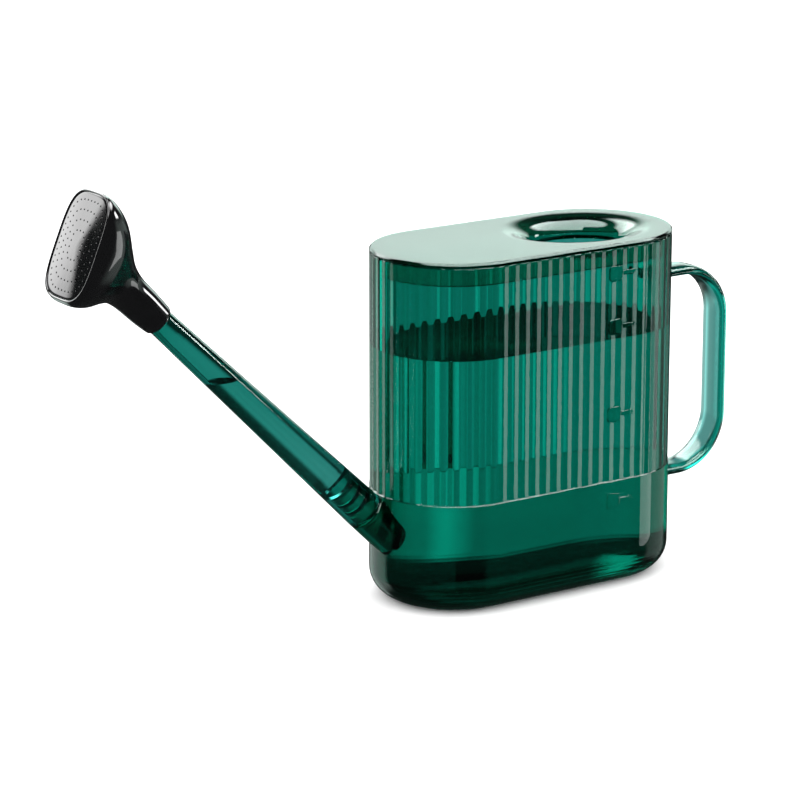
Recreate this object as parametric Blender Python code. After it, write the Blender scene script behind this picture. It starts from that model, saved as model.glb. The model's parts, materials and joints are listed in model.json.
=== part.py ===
"""A clear plastic watering can: an oval can, a push-in lid, a pull-off spout and a rose.

Run with: blender --background --python part.py
The origin is the middle of the can's flat base, and +Z is up. The spout points to -X and
the handle is at +X. The spout, its spigot and the rose are built along their own +Z, and
the empty "spout_axis" lays that axis at the spout's angle.
"""

import math

import bmesh
import bpy
import numpy as np

MM = 0.001

# Clearances
TOUCH_GAP = 0.3 * MM
LID_CLEARANCE = 0.5 * MM
SPIGOT_CLEARANCE = 0.8 * MM
NECK_CLEARANCE = 0.6 * MM

# Can
CAN_LENGTH = 165.3 * MM
CAN_WIDTH = 83.0 * MM
CAN_HEIGHT = 174.1 * MM
CAN_WALL = 3.0 * MM
BASE_THICKNESS = 3.0 * MM
BASE_FILLET = 14.0 * MM
RIB_START = 56.0 * MM
RIB_PITCH = 6.45 * MM
RIB_CREST_SET = 0.3 * MM
RIB_DEPTH = 0.9 * MM
RIB_END_STEP = 0.6 * MM

# Level marks, from the base up, each a badge and a dash on the front wall
LEVEL_HEIGHTS = (46.0 * MM, 90.4 * MM, 134.9 * MM, 161.7 * MM)
LEVEL_X = 26.8 * MM
BADGE_WIDTH = 8.4 * MM
BADGE_HEIGHT = 7.9 * MM
DASH_LENGTH = 7.2 * MM
DASH_HEIGHT = 2.4 * MM
BADGE_DASH_STEP = 1.0 * MM
MARK_RELIEF = 0.3 * MM
MARK_ROOT = 1.6 * MM

# Lid
LID_THICKNESS = 2.0 * MM
LID_EDGE_ROUND = 0.5 * MM
SKIRT_DEPTH = 10.0 * MM
SKIRT_THICKNESS = 2.0 * MM
DISH_END_MARGIN = 2.4 * MM
DISH_SKIRT_MARGIN = 1.2 * MM
DISH_ROUNDNESS = 1.2
DISH_DEPTH = 8.5 * MM
THROAT_SHARE = 0.62
# The dish's curve from its rim inwards: share of its half sizes, and share of its depth
DISH_CURVE = ((1.0, 0.0), (0.94, 0.07), (0.86, 0.30), (0.76, 0.66), (0.68, 0.88))

# Handle
HANDLE_TOP = 149.8 * MM
HANDLE_BOTTOM = 40.0 * MM
HANDLE_REACH = 42.4 * MM
HANDLE_WIDTH = 17.0 * MM
HANDLE_THICKNESS = 5.2 * MM
HANDLE_TOP_RADIUS = 28.0 * MM
HANDLE_BOTTOM_RADIUS = 30.0 * MM
HANDLE_EDGE = 1.3 * MM

# Spout. Lengths are along its axis from the seam where the spigot's flange meets the boss.
SPOUT_ANGLE = math.radians(44.4)
BOSS_RADIUS = 9.9 * MM
BOSS_OUT = 15.0 * MM
BOSS_IN = 9.5 * MM
SPOUT_HEIGHT = 40.3 * MM
SPIGOT_RADIUS = 7.1 * MM
SPIGOT_BORE = 5.0 * MM
SPIGOT_REACH = 21.0 * MM
FLANGE_THICKNESS = 1.2 * MM
SEAL_SECTION = 1.4 * MM
SEAL_STATIONS = (8.5 * MM, 14.5 * MM)
GROOVE_SIDE = 0.3 * MM
TUBE_LENGTH = 156.6 * MM
TUBE_RADIUS = 9.9 * MM
TUBE_TIP_RADIUS = 6.6 * MM
TUBE_BORE_DEPTH = 24.0 * MM
TUBE_TIP_WALL = 1.9 * MM
TIP_LENGTH = 14.0 * MM
TIP_RADIUS = 5.8 * MM
TIP_WALL = 1.9 * MM
TIP_SEAL_SECTION = 0.9 * MM
TIP_SEAL_STATION = 7.0 * MM

# Rose
ROSE_NECK_RADIUS = 7.8 * MM
NECK_EDGE = 0.7 * MM
ROSE_WALL = 1.7 * MM
ROSE_FACE_DISTANCE = 57.8 * MM
ROSE_FACE_LENGTH = 52.0 * MM
ROSE_FACE_WIDTH = 38.6 * MM
ROSE_TILT = math.radians(21.6)
ROSE_RIM = 1.1 * MM
ROSE_RIM_PROUD = 0.5 * MM
PLATE_THICKNESS = 1.6 * MM
PLATE_DOME = 0.9 * MM
PLATE_LEDGE = 1.4 * MM
PLATE_RINGS = (0.35, 0.7)
# Outside of the flare: share of the distance to the face, lift of the section's centre as a
# share of the face's half length, share of the way from the neck's radius to the face's half
# sizes, share of the full tilt, and squareness
ROSE_FLARE = (
    (0.17, 0.000, 0.05, 0.00, 2.0),
    (0.37, 0.005, 0.085, 0.04, 2.0),
    (0.50, 0.025, 0.20, 0.30, 2.2),
    (0.61, 0.045, 0.43, 0.48, 2.5),
    (0.75, 0.065, 0.79, 0.72, 2.9),
    (0.865, 0.040, 0.97, 0.82, 3.3),
    (0.95, 0.020, 1.04, 0.93, 3.5),
)
FACE_SQUARENESS = 3.5

# Segments
AXIS_SEGMENTS = 28
LID_SEGMENTS = 66
ROSE_SEGMENTS = 36
SEAL_SIDES = 6
FILLET_STEPS = 4
CORNER_STEPS = 6
FLAT_STOPS = 5

# Derived sizes
CAN_RADIUS = CAN_WIDTH / 2
HALF_STRAIGHT = CAN_LENGTH / 2 - CAN_RADIUS
LID_TOP = CAN_HEIGHT + TOUCH_GAP + LID_THICKNESS
WALL_POINT = (-CAN_LENGTH / 2, 0.0, SPOUT_HEIGHT)
SPOUT_TURN = SPOUT_ANGLE - math.pi / 2
SEAM_POINT = (
    WALL_POINT[0] - BOSS_OUT * math.cos(SPOUT_ANGLE),
    0.0,
    WALL_POINT[2] + BOSS_OUT * math.sin(SPOUT_ANGLE),
)
TUBE_BORE = SPIGOT_RADIUS + SPIGOT_CLEARANCE
TUBE_START = TOUCH_GAP + FLANGE_THICKNESS + TOUCH_GAP
TUBE_SHOULDER = TUBE_START + TUBE_LENGTH
NECK_START = TUBE_SHOULDER + TOUCH_GAP
NECK_BORE = TIP_RADIUS + NECK_CLEARANCE

GREEN = (0.004, 0.17, 0.12)
PALE_GREEN = (0.05, 0.42, 0.32)
BLACK = (0.006, 0.006, 0.007)
RUBBER = (0.015, 0.016, 0.017)


def clear_scene():
    for old in list(bpy.data.objects):
        bpy.data.objects.remove(old, do_unlink=True)


def material(name, colour, roughness, transmission=0.0):
    made = bpy.data.materials.new(name)
    made.use_nodes = True
    shader = made.node_tree.nodes["Principled BSDF"]
    shader.inputs["Base Color"].default_value = (*colour, 1.0)
    shader.inputs["Roughness"].default_value = roughness
    shader.inputs["Metallic"].default_value = 0.0
    shader.inputs["Transmission Weight"].default_value = transmission
    return made


def add_object(name, mesh, finish=None, parent=None, lift=0.0):
    """Puts a mesh in the scene, lifted along its parent's +Z."""
    made = bpy.data.objects.new(name, mesh)
    bpy.context.scene.collection.objects.link(made)
    made.parent = parent
    made.location.z = lift
    if finish:
        mesh.materials.append(finish)
    return made


def add_empty(name, location, turn_y=0.0, parent=None):
    made = bpy.data.objects.new(name, None)
    bpy.context.scene.collection.objects.link(made)
    made.parent = parent
    made.location = location
    made.rotation_euler = (0.0, turn_y, 0.0)
    return made


def cap(bm, row, in_strips):
    """Closes an end: with one flat face, or with strips between the ring's two mirrored sides."""
    if not in_strips:
        bm.faces.new(row)
        return
    last = len(row) - 1
    for i in range(len(row) // 2 - 1):
        bm.faces.new((row[i], row[i + 1], row[last - i - 1], row[last - i]))


def loft(name, rings, closed=False, cap_in_strips=False, sharp_angle=35.0):
    """A skin over rings of equally many points: capped at both ends, or closed into a loop."""
    bm = bmesh.new()
    rows = []
    for ring in rings:
        rows.append([bm.verts.new(point) for point in ring])
    pairs = list(zip(rows, rows[1:]))
    if closed:
        pairs.append((rows[-1], rows[0]))
    else:
        cap(bm, rows[0], cap_in_strips)
        cap(bm, rows[-1], cap_in_strips)
    for low, high in pairs:
        for i in range(len(low)):
            j = (i + 1) % len(low)
            bm.faces.new((low[i], low[j], high[j], high[i]))
    bmesh.ops.recalc_face_normals(bm, faces=bm.faces)
    mesh = bpy.data.meshes.new(name)
    bm.to_mesh(mesh)
    bm.free()
    mesh.shade_smooth()
    mesh.set_sharp_from_angle(angle=math.radians(sharp_angle))
    return mesh


def circle(radius, z, count=AXIS_SEGMENTS):
    angles = np.arange(count) * math.tau / count
    x = radius * np.cos(angles)
    y = radius * np.sin(angles)
    return np.column_stack((x, y, np.full(count, z)))


def turned(name, profile):
    """A hollow turned piece: profile is a closed loop of (distance along +Z, radius)."""
    return loft(name, [circle(radius, z) for z, radius in profile], closed=True)


def stadium(count, inset=0.0):
    """Points evenly spaced round the can's outline, and the outward normal at each.

    inset moves every point inwards along its normal; it may be one number or one per point.
    """
    arc = math.pi * CAN_RADIUS
    straight = 2 * HALF_STRAIGHT
    along = np.arange(count) * 2 * (arc + straight) / count
    # Starts at the middle of the front side and runs towards +X
    along = (along + straight / 2) % (2 * (arc + straight))
    half = along // (arc + straight)
    along = along % (arc + straight)
    turn = np.clip((along - straight) / CAN_RADIUS, 0.0, math.pi)
    slide = np.minimum(along, straight) - HALF_STRAIGHT
    normal = np.column_stack((np.sin(turn), -np.cos(turn)))
    centre = np.column_stack((slide, np.zeros(count)))
    points = centre + normal * CAN_RADIUS
    sign = np.where(half > 0, -1.0, 1.0)[:, None]
    normal = normal * sign
    points = points * sign
    return points - normal * np.reshape(inset, (-1, 1)), normal


def outline_ring(count, z, inset=0.0):
    points, _ = stadium(count, inset)
    return np.column_stack((points, np.full(count, z)))


def fillet_rings(count, radius, inset, floor):
    """Rings of a rounded bottom edge, from the flat floor up to the upright wall."""
    rings = []
    for step in range(FILLET_STEPS):
        angle = step * math.pi / 2 / (FILLET_STEPS - 1)
        inwards = inset + radius * (1 - math.sin(angle))
        rings.append(outline_ring(count, floor + radius * (1 - math.cos(angle)), inwards))
    return rings


def rib_count():
    around = 2 * math.pi * CAN_RADIUS + 4 * HALF_STRAIGHT
    return 2 * round(around / RIB_PITCH / 2)


def build_shell():
    """The can: smooth below, ribbed above, with a rounded bottom edge."""
    count = 2 * rib_count()
    ribbed = RIB_CREST_SET + RIB_DEPTH * (np.arange(count) % 2)
    rings = fillet_rings(count, BASE_FILLET, 0.0, 0.0)
    rings.append(outline_ring(count, RIB_START))
    rings.append(outline_ring(count, RIB_START + RIB_END_STEP, ribbed))
    rings.append(outline_ring(count, CAN_HEIGHT, ribbed))
    rings.append(outline_ring(count, CAN_HEIGHT, CAN_WALL))
    rings += reversed(fillet_rings(count, BASE_FILLET - CAN_WALL, CAN_WALL, BASE_THICKNESS))
    return loft("can_shell", rings, sharp_angle=30.0)


def boolean(target, cutter, operation):
    cutter.hide_render = True
    cutter.display_type = "WIRE"
    modifier = target.modifiers.new(cutter.name, "BOOLEAN")
    modifier.operation = operation
    modifier.object = cutter
    modifier.solver = "EXACT"


def add_box(name, low, high):
    bm = bmesh.new()
    bmesh.ops.create_cube(bm, size=1.0)
    size = [b - a for a, b in zip(low, high)]
    middle = [(a + b) / 2 for a, b in zip(low, high)]
    bmesh.ops.scale(bm, vec=size, verts=bm.verts)
    bmesh.ops.translate(bm, vec=middle, verts=bm.verts)
    mesh = bpy.data.meshes.new(name)
    bm.to_mesh(mesh)
    bm.free()
    return add_object(name, mesh)


def add_level_marks(shell):
    """A badge and a dash at each level, standing a little proud of the front wall."""
    front = -CAN_RADIUS - MARK_RELIEF
    root = -CAN_RADIUS + MARK_ROOT
    dash_start = LEVEL_X + BADGE_WIDTH / 2 + BADGE_DASH_STEP
    for number, z in enumerate(LEVEL_HEIGHTS, start=1):
        badge = add_box(
            f"badge_{number}",
            (LEVEL_X - BADGE_WIDTH / 2, front, z - BADGE_HEIGHT / 2),
            (LEVEL_X + BADGE_WIDTH / 2, root, z + BADGE_HEIGHT / 2),
        )
        dash = add_box(
            f"dash_{number}",
            (dash_start, front, z - DASH_HEIGHT / 2),
            (dash_start + DASH_LENGTH, root, z + DASH_HEIGHT / 2),
        )
        boolean(shell, badge, "UNION")
        boolean(shell, dash, "UNION")


def add_boss(shell, spout_axis):
    """The slanted boss through the can's end wall, bored for the spigot's shank."""
    inner_end = -BOSS_OUT - BOSS_IN
    solid = loft("boss", [circle(BOSS_RADIUS, inner_end), circle(BOSS_RADIUS, 0.0)])
    bore_radius = SPIGOT_RADIUS + TOUCH_GAP
    overrun = BOSS_IN
    ends = (inner_end - overrun, overrun)
    bore = loft("boss_bore", [circle(bore_radius, end) for end in ends])
    boolean(shell, add_object("boss", solid, parent=spout_axis), "UNION")
    boolean(shell, add_object("boss_bore", bore, parent=spout_axis), "DIFFERENCE")


def dish_half_sizes():
    """Half length and half width of the lid's dish, which fills the skirt's width."""
    half_width = skirt_inner_radius() - DISH_SKIRT_MARGIN
    return half_width * DISH_ROUNDNESS, half_width


def skirt_outer_inset():
    return CAN_WALL + LID_CLEARANCE


def skirt_inner_radius():
    return CAN_RADIUS - skirt_outer_inset() - SKIRT_THICKNESS


def dish_ring(share, z):
    """An oval ring of the dish, each point in line with the outline's point of that number."""
    half_length, half_width = dish_half_sizes()
    centre = (HALF_STRAIGHT + skirt_inner_radius() - DISH_END_MARGIN - half_length, 0.0)
    points, _ = stadium(LID_SEGMENTS)
    away = points - centre
    reach = np.hypot(away[:, 0] / half_length, away[:, 1] / half_width)
    points = centre + away * (share / reach)[:, None]
    return np.column_stack((points, np.full(LID_SEGMENTS, z)))


def build_lid():
    """The lid: a flat plate with a skirt inside the can and a filler dish with its throat."""
    top = LID_TOP
    under = LID_TOP - LID_THICKNESS
    skirt_end = under - SKIRT_DEPTH
    outer_inset = skirt_outer_inset()
    inner_inset = outer_inset + SKIRT_THICKNESS
    wall_share = LID_THICKNESS / dish_half_sizes()[1]
    rings = [
        outline_ring(LID_SEGMENTS, under, RIB_CREST_SET),
        outline_ring(LID_SEGMENTS, top - LID_EDGE_ROUND, RIB_CREST_SET),
        outline_ring(LID_SEGMENTS, top, RIB_CREST_SET + LID_EDGE_ROUND),
    ]
    for share, drop in DISH_CURVE:
        rings.append(dish_ring(share, top - drop * DISH_DEPTH))
    rings.append(dish_ring(THROAT_SHARE, top - DISH_DEPTH))
    rings.append(dish_ring(THROAT_SHARE, top - DISH_DEPTH - LID_THICKNESS / 2))
    for share, drop in reversed(DISH_CURVE[1:]):
        depth = drop * DISH_DEPTH + LID_THICKNESS
        rings.append(dish_ring(share + wall_share / 2, top - depth))
    rings.append(outline_ring(LID_SEGMENTS, under, inner_inset))
    rings.append(outline_ring(LID_SEGMENTS, skirt_end, inner_inset))
    rings.append(outline_ring(LID_SEGMENTS, skirt_end, outer_inset))
    rings.append(outline_ring(LID_SEGMENTS, under, outer_inset))
    return loft("lid", rings, closed=True)


def handle_path():
    """Centre line of the handle in X and Z with the direction there, from top to bottom."""
    half = HANDLE_THICKNESS / 2
    wall_x = CAN_LENGTH / 2
    outer_x = wall_x + HANDLE_REACH
    path = [(wall_x, HANDLE_TOP - half, 0.0)]
    corners = (
        (HANDLE_TOP_RADIUS, HANDLE_TOP - HANDLE_TOP_RADIUS, math.pi / 2),
        (HANDLE_BOTTOM_RADIUS, HANDLE_BOTTOM + HANDLE_BOTTOM_RADIUS, 0.0),
    )
    for radius, centre_z, start in corners:
        for step in range(CORNER_STEPS + 1):
            angle = start - step * math.pi / 2 / CORNER_STEPS
            x = outer_x - radius + (radius - half) * math.cos(angle)
            z = centre_z + (radius - half) * math.sin(angle)
            path.append((x, z, angle - math.pi / 2))
    path.append((wall_x, HANDLE_BOTTOM + half, -math.pi))
    return path


def handle_section():
    """The bar's section as (outwards, sideways) points: a rectangle with cut corners."""
    thick = HANDLE_THICKNESS / 2
    wide = HANDLE_WIDTH / 2
    flat = np.linspace(wide - HANDLE_EDGE, HANDLE_EDGE - wide, FLAT_STOPS)
    side = [(thick, across) for across in flat]
    outer = [(thick - HANDLE_EDGE, wide), *side, (thick - HANDLE_EDGE, -wide)]
    inner = [(-out, across) for out, across in reversed(outer)]
    return np.array(outer + inner)


def build_handle():
    """The C-shaped bar, its two ends cut to the can's rounded end."""
    section = handle_section()
    rings = []
    for x, z, heading in handle_path():
        outward = np.array((-math.sin(heading), 0.0, math.cos(heading)))
        sideways = np.array((0.0, 1.0, 0.0))
        ring = np.array((x, 0.0, z)) + section[:, :1] * outward + section[:, 1:] * sideways
        rings.append(ring)
    for end in (rings[0], rings[-1]):
        end[:, 0] = HALF_STRAIGHT + np.sqrt(CAN_RADIUS**2 - end[:, 1] ** 2) + TOUCH_GAP
    return loft("handle", rings, cap_in_strips=True)


def seal_profile(station, inner_radius, section):
    """A round seal's section as a loop, and the radius of its outside is inner plus section."""
    centre = inner_radius + section / 2
    loop = []
    for side in range(SEAL_SIDES):
        angle = side * math.tau / SEAL_SIDES
        radius = centre + section / 2 * math.cos(angle)
        loop.append((station + section / 2 * math.sin(angle), radius))
    return loop


def groove(station, section, surface, bottom):
    """The four profile points of a groove that a seal lies in."""
    half = section / 2 + GROOVE_SIDE
    return [
        (station - half, surface),
        (station - half, bottom),
        (station + half, bottom),
        (station + half, surface),
    ]


def seal_seat(bore, section):
    """Inner radius of a seal that just clears its bore, and of the groove under it."""
    inner = bore - TOUCH_GAP - section
    return inner, inner - TOUCH_GAP


def build_spigot():
    """The nipple: a shank in the boss, a flange at the seam and a grooved nose in the tube."""
    _, groove_bottom = seal_seat(TUBE_BORE, SEAL_SECTION)
    shank_end = -BOSS_OUT - BOSS_IN
    flange_low = TOUCH_GAP
    flange_high = flange_low + FLANGE_THICKNESS
    nose = flange_high + SPIGOT_REACH
    chamfer = (SPIGOT_RADIUS - SPIGOT_BORE) / 2
    profile = [(shank_end, SPIGOT_BORE), (shank_end, SPIGOT_RADIUS)]
    profile += [(flange_low, SPIGOT_RADIUS), (flange_low, BOSS_RADIUS)]
    profile += [(flange_high, BOSS_RADIUS), (flange_high, SPIGOT_RADIUS)]
    for station in SEAL_STATIONS:
        profile += groove(station, SEAL_SECTION, SPIGOT_RADIUS, groove_bottom)
    profile += [(nose - chamfer, SPIGOT_RADIUS), (nose, SPIGOT_RADIUS - chamfer)]
    profile.append((nose, SPIGOT_BORE))
    return turned("spout_spigot", profile)


def build_tube():
    """The tapered spout tube: a socket for the spigot below and a stepped, grooved tip above."""
    _, groove_bottom = seal_seat(NECK_BORE, TIP_SEAL_SECTION)
    tip_end = TUBE_SHOULDER + TIP_LENGTH
    tip_bore = TIP_RADIUS - TIP_WALL
    socket_end = TUBE_START + TUBE_BORE_DEPTH
    profile = [(TUBE_START, TUBE_BORE), (TUBE_START, TUBE_RADIUS)]
    profile += [(TUBE_SHOULDER, TUBE_TIP_RADIUS), (TUBE_SHOULDER, TIP_RADIUS)]
    seal_at = TUBE_SHOULDER + TIP_SEAL_STATION
    profile += groove(seal_at, TIP_SEAL_SECTION, TIP_RADIUS, groove_bottom)
    profile += [(tip_end, TIP_RADIUS), (tip_end, tip_bore)]
    profile += [(TUBE_SHOULDER, tip_bore)]
    profile.append((TUBE_SHOULDER - TIP_LENGTH, TUBE_TIP_RADIUS - TUBE_TIP_WALL))
    profile.append((socket_end, TUBE_BORE))
    return turned("spout_tube", profile)


def rose_ring(distance, lift, half_length, half_width, tilt, squareness):
    """A tilted superellipse section of the rose, distance along its axis from the neck."""
    angles = np.arange(ROSE_SEGMENTS) * math.tau / ROSE_SEGMENTS
    power = 2.0 / squareness
    along = half_length * np.sign(np.cos(angles)) * np.abs(np.cos(angles)) ** power
    across = half_width * np.sign(np.sin(angles)) * np.abs(np.sin(angles)) ** power
    x = lift + along * math.cos(tilt)
    z = distance + along * math.sin(tilt)
    return np.column_stack((x, across, z))


def flare_rings(wall):
    """Rings of the rose's flare, moved in by a wall: 0 gives the outside."""
    half_length = ROSE_FACE_LENGTH / 2
    half_width = ROSE_FACE_WIDTH / 2
    rings = []
    for along, lift, share, tilt, squareness in ROSE_FLARE:
        rings.append(
            rose_ring(
                along * ROSE_FACE_DISTANCE,
                lift * half_length,
                ROSE_NECK_RADIUS + share * (half_length - ROSE_NECK_RADIUS) - wall,
                ROSE_NECK_RADIUS + share * (half_width - ROSE_NECK_RADIUS) - wall,
                tilt * ROSE_TILT,
                squareness,
            )
        )
    return rings


def face_ring(depth, inset):
    """A ring parallel to the rose's face, depth behind it and inset from its edge."""
    ring = rose_ring(
        ROSE_FACE_DISTANCE,
        0.0,
        ROSE_FACE_LENGTH / 2 - inset,
        ROSE_FACE_WIDTH / 2 - inset,
        ROSE_TILT,
        FACE_SQUARENESS,
    )
    return ring - depth * np.array((-math.sin(ROSE_TILT), 0.0, math.cos(ROSE_TILT)))


def build_rose():
    """The rose's housing: a neck over the tube's tip that flares and bends to the face."""
    neck_end = TIP_LENGTH + TOUCH_GAP
    throat = TIP_RADIUS - TIP_WALL
    ledge = ROSE_RIM + TOUCH_GAP + PLATE_LEDGE
    rings = [
        circle(NECK_BORE, 0.0, ROSE_SEGMENTS),
        circle(ROSE_NECK_RADIUS - NECK_EDGE, 0.0, ROSE_SEGMENTS),
        circle(ROSE_NECK_RADIUS, NECK_EDGE, ROSE_SEGMENTS),
    ]
    rings += flare_rings(0.0)
    rings.append(face_ring(0.0, 0.0))
    rings.append(face_ring(-ROSE_RIM_PROUD, ROSE_RIM / 2))
    rings.append(face_ring(-ROSE_RIM_PROUD, ROSE_RIM))
    seat_depth = PLATE_THICKNESS + TOUCH_GAP
    rings.append(face_ring(seat_depth, ROSE_RIM))
    rings.append(face_ring(seat_depth, ledge))
    rings.append(face_ring(seat_depth + PLATE_LEDGE, ledge))
    rings += reversed(flare_rings(ROSE_WALL + PLATE_LEDGE)[2:-1])
    rings.append(circle(throat, neck_end, ROSE_SEGMENTS))
    rings.append(circle(NECK_BORE, neck_end, ROSE_SEGMENTS))
    return loft("rose_housing", rings, closed=True)


def build_plate():
    """The rose's face: a thin, slightly domed plate inside the rim."""
    inset = ROSE_RIM + TOUCH_GAP
    half = ROSE_FACE_WIDTH / 2
    rings = [face_ring(PLATE_THICKNESS, inset), face_ring(0.0, inset)]
    for share in PLATE_RINGS:
        rise = PLATE_DOME * (1 - (1 - share) ** 2)
        rings.append(face_ring(-rise, inset + share * half))
    return loft("rose_plate", rings)


def main():
    clear_scene()
    clear_green = material("clear_green", GREEN, 0.05, transmission=1.0)
    handle_green = material("handle_green", PALE_GREEN, 0.04, transmission=1.0)
    black = material("black_plastic", BLACK, 0.12)
    rubber = material("seal_rubber", RUBBER, 0.6)

    spout_axis = add_empty("spout_axis", SEAM_POINT, turn_y=SPOUT_TURN)
    rose_axis = add_empty("rose_axis", (0.0, 0.0, NECK_START), parent=spout_axis)

    shell = add_object("can_shell", build_shell(), clear_green)
    add_boss(shell, spout_axis)
    add_level_marks(shell)
    add_object("handle", build_handle(), handle_green)
    add_object("lid", build_lid(), clear_green)

    add_object("spout_spigot", build_spigot(), clear_green, spout_axis)
    seal_inner, _ = seal_seat(TUBE_BORE, SEAL_SECTION)
    for name, station in zip(("spigot_seal_lower", "spigot_seal_upper"), SEAL_STATIONS):
        mesh = turned(name, seal_profile(0.0, seal_inner, SEAL_SECTION))
        add_object(name, mesh, rubber, spout_axis, station)
    add_object("spout_tube", build_tube(), clear_green, spout_axis)

    tip_inner, _ = seal_seat(NECK_BORE, TIP_SEAL_SECTION)
    mesh = turned("neck_seal", seal_profile(0.0, tip_inner, TIP_SEAL_SECTION))
    add_object("neck_seal", mesh, rubber, spout_axis, TUBE_SHOULDER + TIP_SEAL_STATION)
    add_object("rose_housing", build_rose(), black, rose_axis)
    add_object("rose_plate", build_plate(), black, rose_axis)


main()
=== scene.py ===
"""Looks of a clear green plastic watering can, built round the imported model.

Every length is in metres in the part's own frame: +Z is up, the spout points to -X, the
handle is at +X and the level marks are on the -Y side. Each piece is a surface worked out
with numpy, either a function of two parameters or a profile carried along a path.
"""

import json
import logging
import math
from dataclasses import dataclass, field
from enum import Enum

import bpy
import numpy as np
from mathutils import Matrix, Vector

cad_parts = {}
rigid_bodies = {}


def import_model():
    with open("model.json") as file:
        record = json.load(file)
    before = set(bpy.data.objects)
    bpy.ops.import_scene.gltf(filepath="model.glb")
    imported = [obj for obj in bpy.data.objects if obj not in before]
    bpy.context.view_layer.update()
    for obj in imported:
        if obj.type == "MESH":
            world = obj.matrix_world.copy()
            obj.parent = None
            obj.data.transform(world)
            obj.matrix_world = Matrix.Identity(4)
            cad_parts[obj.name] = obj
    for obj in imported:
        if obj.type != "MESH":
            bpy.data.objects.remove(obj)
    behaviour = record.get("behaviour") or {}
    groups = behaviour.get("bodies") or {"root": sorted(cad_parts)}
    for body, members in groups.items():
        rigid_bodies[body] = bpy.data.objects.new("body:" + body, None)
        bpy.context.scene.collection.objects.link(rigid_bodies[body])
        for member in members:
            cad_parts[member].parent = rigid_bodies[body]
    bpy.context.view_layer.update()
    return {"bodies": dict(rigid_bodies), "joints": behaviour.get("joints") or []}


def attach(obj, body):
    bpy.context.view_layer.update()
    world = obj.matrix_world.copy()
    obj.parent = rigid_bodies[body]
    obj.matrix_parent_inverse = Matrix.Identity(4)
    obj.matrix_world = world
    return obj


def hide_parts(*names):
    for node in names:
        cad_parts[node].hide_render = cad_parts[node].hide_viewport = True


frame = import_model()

LOG = logging.getLogger("watering_can")
MM = 0.001


class Ends(Enum):
    """How the first and last rows of a skin are closed."""

    CAPPED = "capped"
    LOOPED = "looped"
    OPEN = "open"


class RayKind(Enum):
    """Which rays a part of the studio's light is meant for."""

    CAMERA = "Is Camera Ray"
    MATTE = "Is Diffuse Ray"
    GLOSSY = "Is Glossy Ray"
    THROUGH = "Is Transmission Ray"


# ---------------------------------------------------------------------------------------
# Meshes


def skin(name: str, grid: np.ndarray, ends: Ends, sharp_degrees: float = 35.0) -> bpy.types.Object:
    """Makes an object from a grid of points whose rows close round on themselves.

    Point (r, c) joins (r, c + 1) and (r + 1, c) in a four-sided face. Faces are turned to
    point outwards by the sign of the enclosed volume.

    Args:
        name: Name of the piece.
        grid: Points as rows x columns x 3.
        ends: Whether the first and last rows are capped, joined to each other or left open.
        sharp_degrees: Edges that fold more than this are drawn sharp.

    Returns:
        The new object, at the origin.
    """
    rows, columns = grid.shape[:2]
    index = np.arange(rows * columns).reshape(rows, columns)
    low = index if ends is Ends.LOOPED else index[:-1]
    high = np.roll(index, -1, axis=0) if ends is Ends.LOOPED else index[1:]
    quads = np.stack(
        (low, np.roll(low, -1, axis=1), np.roll(high, -1, axis=1), high), axis=-1
    ).reshape(-1, 4)
    loops = quads.ravel()
    sizes = np.full(len(quads), 4)
    if ends is Ends.CAPPED:
        loops = np.concatenate((loops, index[0][::-1], index[-1]))
        sizes = np.concatenate((sizes, (columns, columns)))
    points = grid.reshape(-1, 3)
    corners = points[quads]
    first = np.cross(corners[:, 1] - corners[:, 0], corners[:, 2] - corners[:, 0])
    second = np.cross(corners[:, 2] - corners[:, 0], corners[:, 3] - corners[:, 0])
    middle = points.mean(axis=0)
    volume = ((corners.mean(axis=1) - middle) * (first + second)).sum()
    starts = np.concatenate(((0,), np.cumsum(sizes)[:-1]))
    if volume < 0:
        order = np.concatenate([np.arange(s + n - 1, s - 1, -1) for s, n in zip(starts[-2:], sizes[-2:])])
        flipped = loops.copy()
        quad_loops = len(quads) * 4
        flipped[:quad_loops] = quads[:, ::-1].ravel()
        if ends is Ends.CAPPED:
            flipped[quad_loops:] = loops[order]
        loops = flipped
    return object_from_loops(name, points, loops, starts, sizes, sharp_degrees)


def object_from_loops(
    name: str,
    points: np.ndarray,
    loops: np.ndarray,
    starts: np.ndarray,
    sizes: np.ndarray,
    sharp_degrees: float,
) -> bpy.types.Object:
    """Fills a mesh from whole arrays and puts it in the scene.

    Args:
        name: Name of the object and mesh.
        points: Vertices as n x 3.
        loops: Vertex numbers of all faces, one after another.
        starts: First loop of each face.
        sizes: Number of corners of each face.
        sharp_degrees: Edges that fold more than this are drawn sharp.

    Returns:
        The new object.
    """
    mesh = bpy.data.meshes.new(name)
    mesh.vertices.add(len(points))
    mesh.vertices.foreach_set("co", np.ascontiguousarray(points, np.float32).ravel())
    mesh.loops.add(len(loops))
    mesh.loops.foreach_set("vertex_index", loops.astype(np.int32))
    mesh.polygons.add(len(starts))
    mesh.polygons.foreach_set("loop_start", starts.astype(np.int32))
    mesh.polygons.foreach_set("loop_total", sizes.astype(np.int32))
    mesh.update(calc_edges=True)
    mesh.validate()
    mesh.shade_smooth()
    mesh.set_sharp_from_angle(angle=math.radians(sharp_degrees))
    made = bpy.data.objects.new(name, mesh)
    bpy.context.scene.collection.objects.link(made)
    return made


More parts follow.
